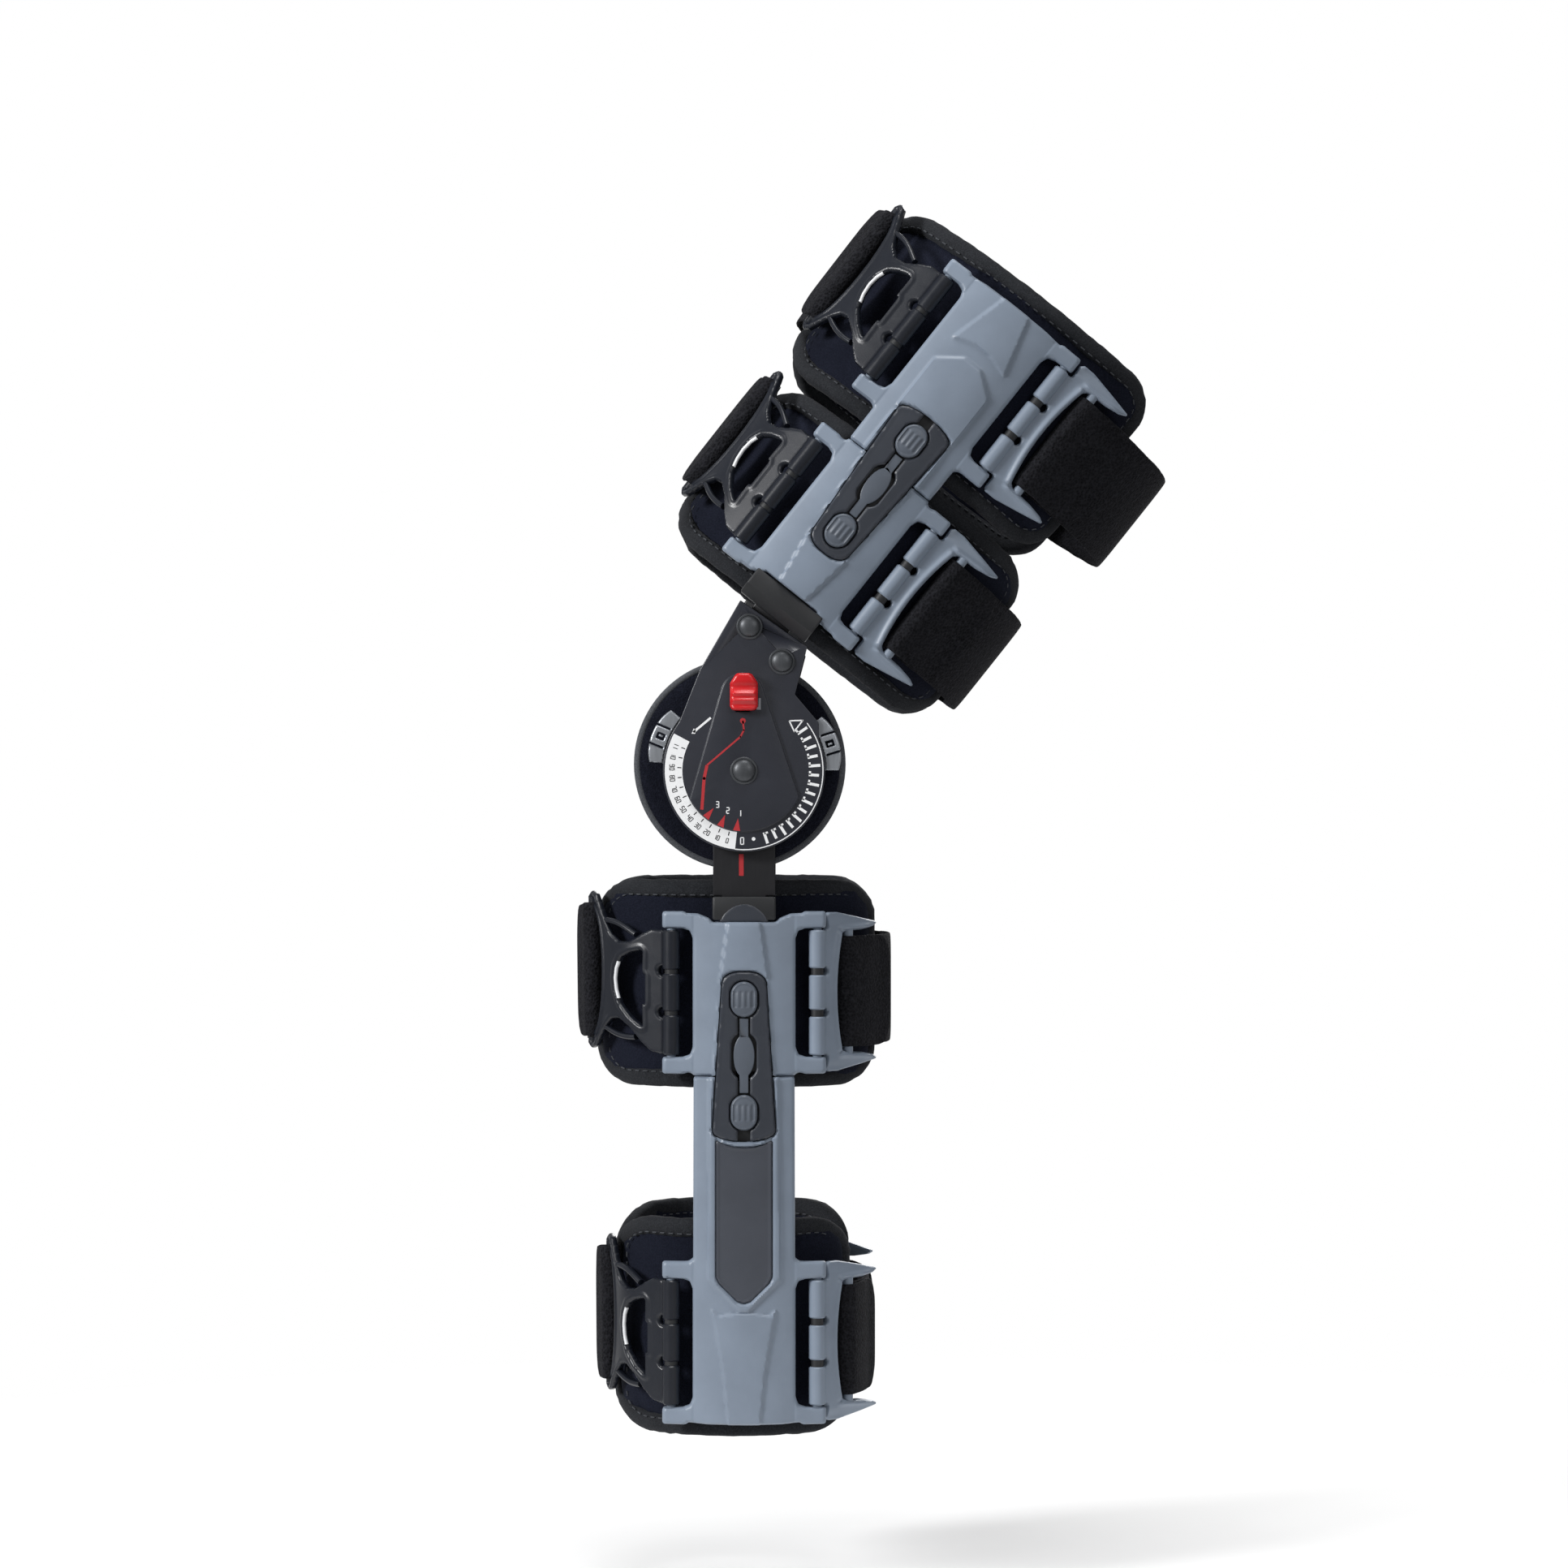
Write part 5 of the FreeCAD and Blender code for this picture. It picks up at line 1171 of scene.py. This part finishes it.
# ---------------------------------------------------------------- strap loops
def strap_loop(level, side):
    """A barrel, a bowed beam and two tapering fingers with a raised rim, and the strap's rod."""
    half = [(2.6, 28.0), (5.0, 28.0), (5.5, 29.2), (5.5, 34.6), (7.0, 36.0), (12.6, 36.0),
            (24.0, 33.9), (36.0, 31.5), (36.4, 30.6), (33.5, 29.2), (26.0, 27.9), (15.6, 27.2)]
    bow = [(13.6 - 3.0 * (1 - (v / 25.6) ** 2), v) for v in np.linspace(25.6, -25.6, 17)]
    plan = half + bow + [(x, -y) for x, y in reversed(half)]
    region = without(polygon(rounded(plan, 1.0, 3)), *[oval(3.2, v, 2.3, 1.6) for v in (-9.4, 9.4)])
    bow_x, bow_z = np.abs(bow[8::-1]).T

    def top(x, z):
        away = np.abs(z)
        edge = np.interp(away, bow_z, bow_x)
        beam = np.exp(-((x - edge + 1.7) / 1.5) ** 2) * smooth_step((28.6 - away) / 3.0)
        lane = (away - 28.9 - 0.05 * (x - 14)) / 1.1
        finger = np.exp(-lane ** 2) * smooth_step((x - 10) / 4) * smooth_step((37 - x) / 10)
        fall = 1.2 * smooth_step((away - 30.0) / 5.0) + 0.7 * smooth_step((x - 26) / 10)
        return 1.8 + 1.6 * np.maximum(beam, finger) - fall

    shape = Shape()
    shape.add(relief(region, ticks(2.4, 36.6, 0.5), ticks(-36.5, 36.5, 0.5), top, flat(-1.8),
                     0.8, 0.4))
    # The barrel's near-black core is painted shade in its gaps.
    barrel(shape, 3.8, 1.6, 2.9)
    shape.add(rod(LOOP_ROD, -29, 29, 0.3, (LOOP_REACH, 0, LOOP_ROD_OUT)))
    name = f"{level.name}_{side}_loop"
    place = on_anchor(level, side, True, LOOP_TURN[level.limb])
    obj = build(f"{name}_frame", shape, place, [SHELL, DARK_AND_PAINTED_SHADE])
    finish_piece(obj, name, "shell_plastic", name)


for level in LEVELS:
    for side in SIDES:
        strap_loop(level, side)


# ---------------------------------------------------------------- straps
STRAP_HALF, STRAP_THICK = 25.0, 2.2
EASE_LONG = 26.0


def strap_curve(level, back):
    """Centreline points of a strap's two halves, from its ends to the middle of its run."""
    limb = level.limb
    pin_y, axis = FACE[limb] + PIN_D, AXIS[limb]
    deep = level.deep + 9.75
    if back:
        turn = math.radians(LOOP_TURN[limb])
        across = axis + PIN_X + LOOP_REACH * math.cos(turn) - LOOP_ROD_OUT * math.sin(turn)
        depth = pin_y - LOOP_REACH * math.sin(turn) - LOOP_ROD_OUT * math.cos(turn)
        ends = {-1: (across, depth), 1: (across, depth)}
    else:
        turn, pin_x = math.radians(level.turn), axis - PIN_X
        ends = {-1: (pin_x - BUCKLE_REACH * math.cos(turn), pin_y - BUCKLE_REACH * math.sin(turn)),
                1: (pin_x, pin_y)}
    halves = {}
    for sign, (across, depth) in ends.items():
        wide = depth / math.sqrt(1 - ((across - level.centre) / deep) ** 2)
        first = math.acos((across - level.centre) / deep)
        last = 0.0 if back else math.pi
        t = np.linspace(first, last, 90)
        x, y = level.centre + deep * np.cos(t), sign * wide * np.sin(t)
        rise = 0 * y if back else (pin_y - y) * BUCKLE_RISE / (ends[-1][1] + pin_y)
        halves[sign] = np.stack([x, y, level.middle + rise], 1)
    return halves


def outward_normals(path):
    """Level normals that point away from the leg."""
    tangent = np.gradient(path, axis=0)
    tangent /= np.linalg.norm(tangent, axis=1)[:, None]
    normals = np.cross(tangent, [0, 0, 1.0])
    normals /= np.linalg.norm(normals, axis=1)[:, None]
    return -normals if (normals * path * [1, 1, 0]).sum() < 0 else normals


def folded_end(path, normals, turn_radius, tail):
    """The turn round the rod at the path's first point, then the tail lying back over the strap."""
    ahead = (path[1] - path[0]) / np.linalg.norm(path[1] - path[0])
    turn = [path[0] - turn_radius * (math.cos(t) * normals[0] + math.sin(t) * ahead)
            for t in np.linspace(0.15, math.pi - 0.15, 12)]
    run = arc_length(path)
    kept = run <= tail
    ease = 1 - smooth_step(run[kept] / EASE_LONG)
    lift = turn_radius * ease + (STRAP_THICK + 0.15) * (1 - ease)
    lift = lift + 1.7 * smooth_step((run[kept] - tail + 12) / 12)
    return np.vstack([turn, path[kept] + normals[kept] * lift[:, None]])


def strip(path, widths, seed):
    """A strip along a path that may fold back on itself: its width stays along z. widths are half
    widths at the path's points, and the edges wander a little."""
    rows = resample(np.c_[path, widths], 1.6)
    path, half = rows[:, :3], rows[:, 3]
    normals = np.cross(np.gradient(path, axis=0), [0, 0, 1.0])
    rng = np.random.default_rng(seed)
    drift = np.convolve(rng.standard_normal(len(path) + 14), np.ones(15) / 3.9, "valid")
    sections = np.repeat(round_bar(STRAP_THICK / 2, -1.0, 1.0, 7, 5.0)[None], len(path), 0)
    sections[:, :, 1] *= (half + 0.18 * drift)[:, None]
    return sweep(path, normals, sections)


def make_strap(level, back, side, tails):
    """A strap folded at one end, or both. The rear one is half a strap, to the back's middle."""
    sign = SIDES[side]
    halves = strap_curve(level, back)
    path = resample(halves[sign] if back else np.vstack([halves[-1], halves[1][::-1][1:]]), 2.2)
    normals = outward_normals(path)
    run = arc_length(path)
    turns = [radius + STRAP_THICK / 2 for radius in (2.45, LOOP_ROD)]
    ease = turns[0] * (1 - smooth_step(run / EASE_LONG))
    if len(tails) > 1:
        ease = ease + turns[1] * (1 - smooth_step((run[-1] - run) / EASE_LONG))
    under = path - normals * ease[:, None]
    whole = [under[::-1], folded_end(path, normals, turns[0], tails[0])]
    if len(tails) > 1:
        whole.insert(0, folded_end(path[::-1], normals[::-1], turns[1], tails[1])[::-1])
    line = np.vstack(whole)
    widths = np.full(len(line), STRAP_HALF)
    if not back:
        away = np.linalg.norm(line - path[0], axis=1)
        widths = STRAP_HALF + 5.5 * (1 - smooth_step((away - 20) / 90))
    along, corner = arc_length(line), 7.0
    for from_end in [along[-1] - along, along][: len(tails)]:
        cut = np.clip(corner - from_end, 0, corner)
        widths = widths - corner + np.sqrt(corner**2 - cut**2)
    shape = Shape()
    shape.add(strip(line, widths, len(level.name) + 3 * back + sign))
    row = to_row(level.limb, 1)
    name = f"{level.name}_rear_strap_{side}" if back else f"{level.name}_front_strap"
    obj = build(name, shape, row, [STRAP], 70)
    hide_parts(f"{level.name}_straps")
    mover, reach = (f"{level.name}_{side}_loop", 40.0) if back else (f"{level.name}_buckle", 75.0)
    start, end = row(np.stack([path[np.searchsorted(run, reach)], path[2]]))
    tuple(start)
    tuple(end)
    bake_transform(obj)


for level in LEVELS:
    for side in SIDES:
        make_strap(level, True, side, (31.0,))
    make_strap(level, False, "lateral", (14.0, 46.0))


# ---------------------------------------------------------------- studio
def surround():
    """White behind the object, fading to a soft grey round the room."""
    world = bpy.data.worlds.new("studio")
    world.use_nodes = True
    tree = world.node_tree
    coords = tree.nodes.new("ShaderNodeTexCoord")
    split = tree.nodes.new("ShaderNodeSeparateXYZ")
    ramp = tree.nodes.new("ShaderNodeValToRGB")
    tree.links.new(coords.outputs["Generated"], split.inputs[0])
    tree.links.new(split.outputs["Y"], ramp.inputs["Fac"])
    for element, (place, shade) in zip(ramp.color_ramp.elements, ((0.55, 0.24), (0.93, 1.0))):
        element.position, element.color = place, (shade, shade, shade, 1)
    background = tree.nodes["Background"]
    tree.links.new(ramp.outputs["Color"], background.inputs["Color"])
    background.inputs["Strength"].default_value = 1.0
    return world


def floor_material():
    """Pale floor that fades out away from the object, so that no horizon shows."""
    n = Nodes("studio_floor")
    distance = n.node("ShaderNodeVectorMath", {0: n.coords}, operation="LENGTH").outputs["Value"]
    n.put(n.shader.inputs["Alpha"], n.ramp(distance, (0.15, 1.0), (0.8, 0.0)))
    return n.set(color=(0.9, 0.9, 0.9), rough=0.8)


def lamp(name, place, size, power):
    """A round soft light that faces the object."""
    data = bpy.data.lights.new(name, "AREA")
    data.shape, data.size, data.energy = "DISK", size, power
    made = bpy.data.objects.new(name, data)
    bpy.context.scene.collection.objects.link(made)
    made.location = place
    made.rotation_euler = (-Vector(place)).to_track_quat("-Z", "Y").to_euler()


def studio():
    """Floor, surroundings, four lights and the camera, which looks straight at the lateral side."""
    scene = bpy.context.scene
    low = min(corner[2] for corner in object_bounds())
    room_to_extend = 0.075
    bpy.ops.mesh.primitive_plane_add(size=3, location=(0.06, 0, low - room_to_extend))
    floor = bpy.context.object
    floor.name = "studio_floor"
    floor.data.materials.append(floor_material())
    floor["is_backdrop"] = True
    scene.world = surround()
    lamp("key", (-1.75, -1.15, 0.8), 0.6, 47)
    lamp("fill", (1.2, -1.9, 0.9), 0.9, 7)
    lamp("top", (0.1, -0.5, 1.9), 1.0, 22)
    lamp("back", (0.6, 1.9, 0.7), 1.2, 24)
    camera = bpy.data.objects.new("camera", bpy.data.cameras.new("camera"))
    scene.collection.objects.link(camera)
    camera.data.lens, camera.data.sensor_width = 100.0, 36.0
    camera.data.clip_end = 40
    aim, distance = Vector((0.018, 0.0, -0.006)), 2.03
    camera.location = aim - Vector((0, distance, 0))
    camera.rotation_euler = (math.radians(90), 0, 0)
    scene.camera = camera
    scene.view_settings.view_transform = "Standard"


studio()
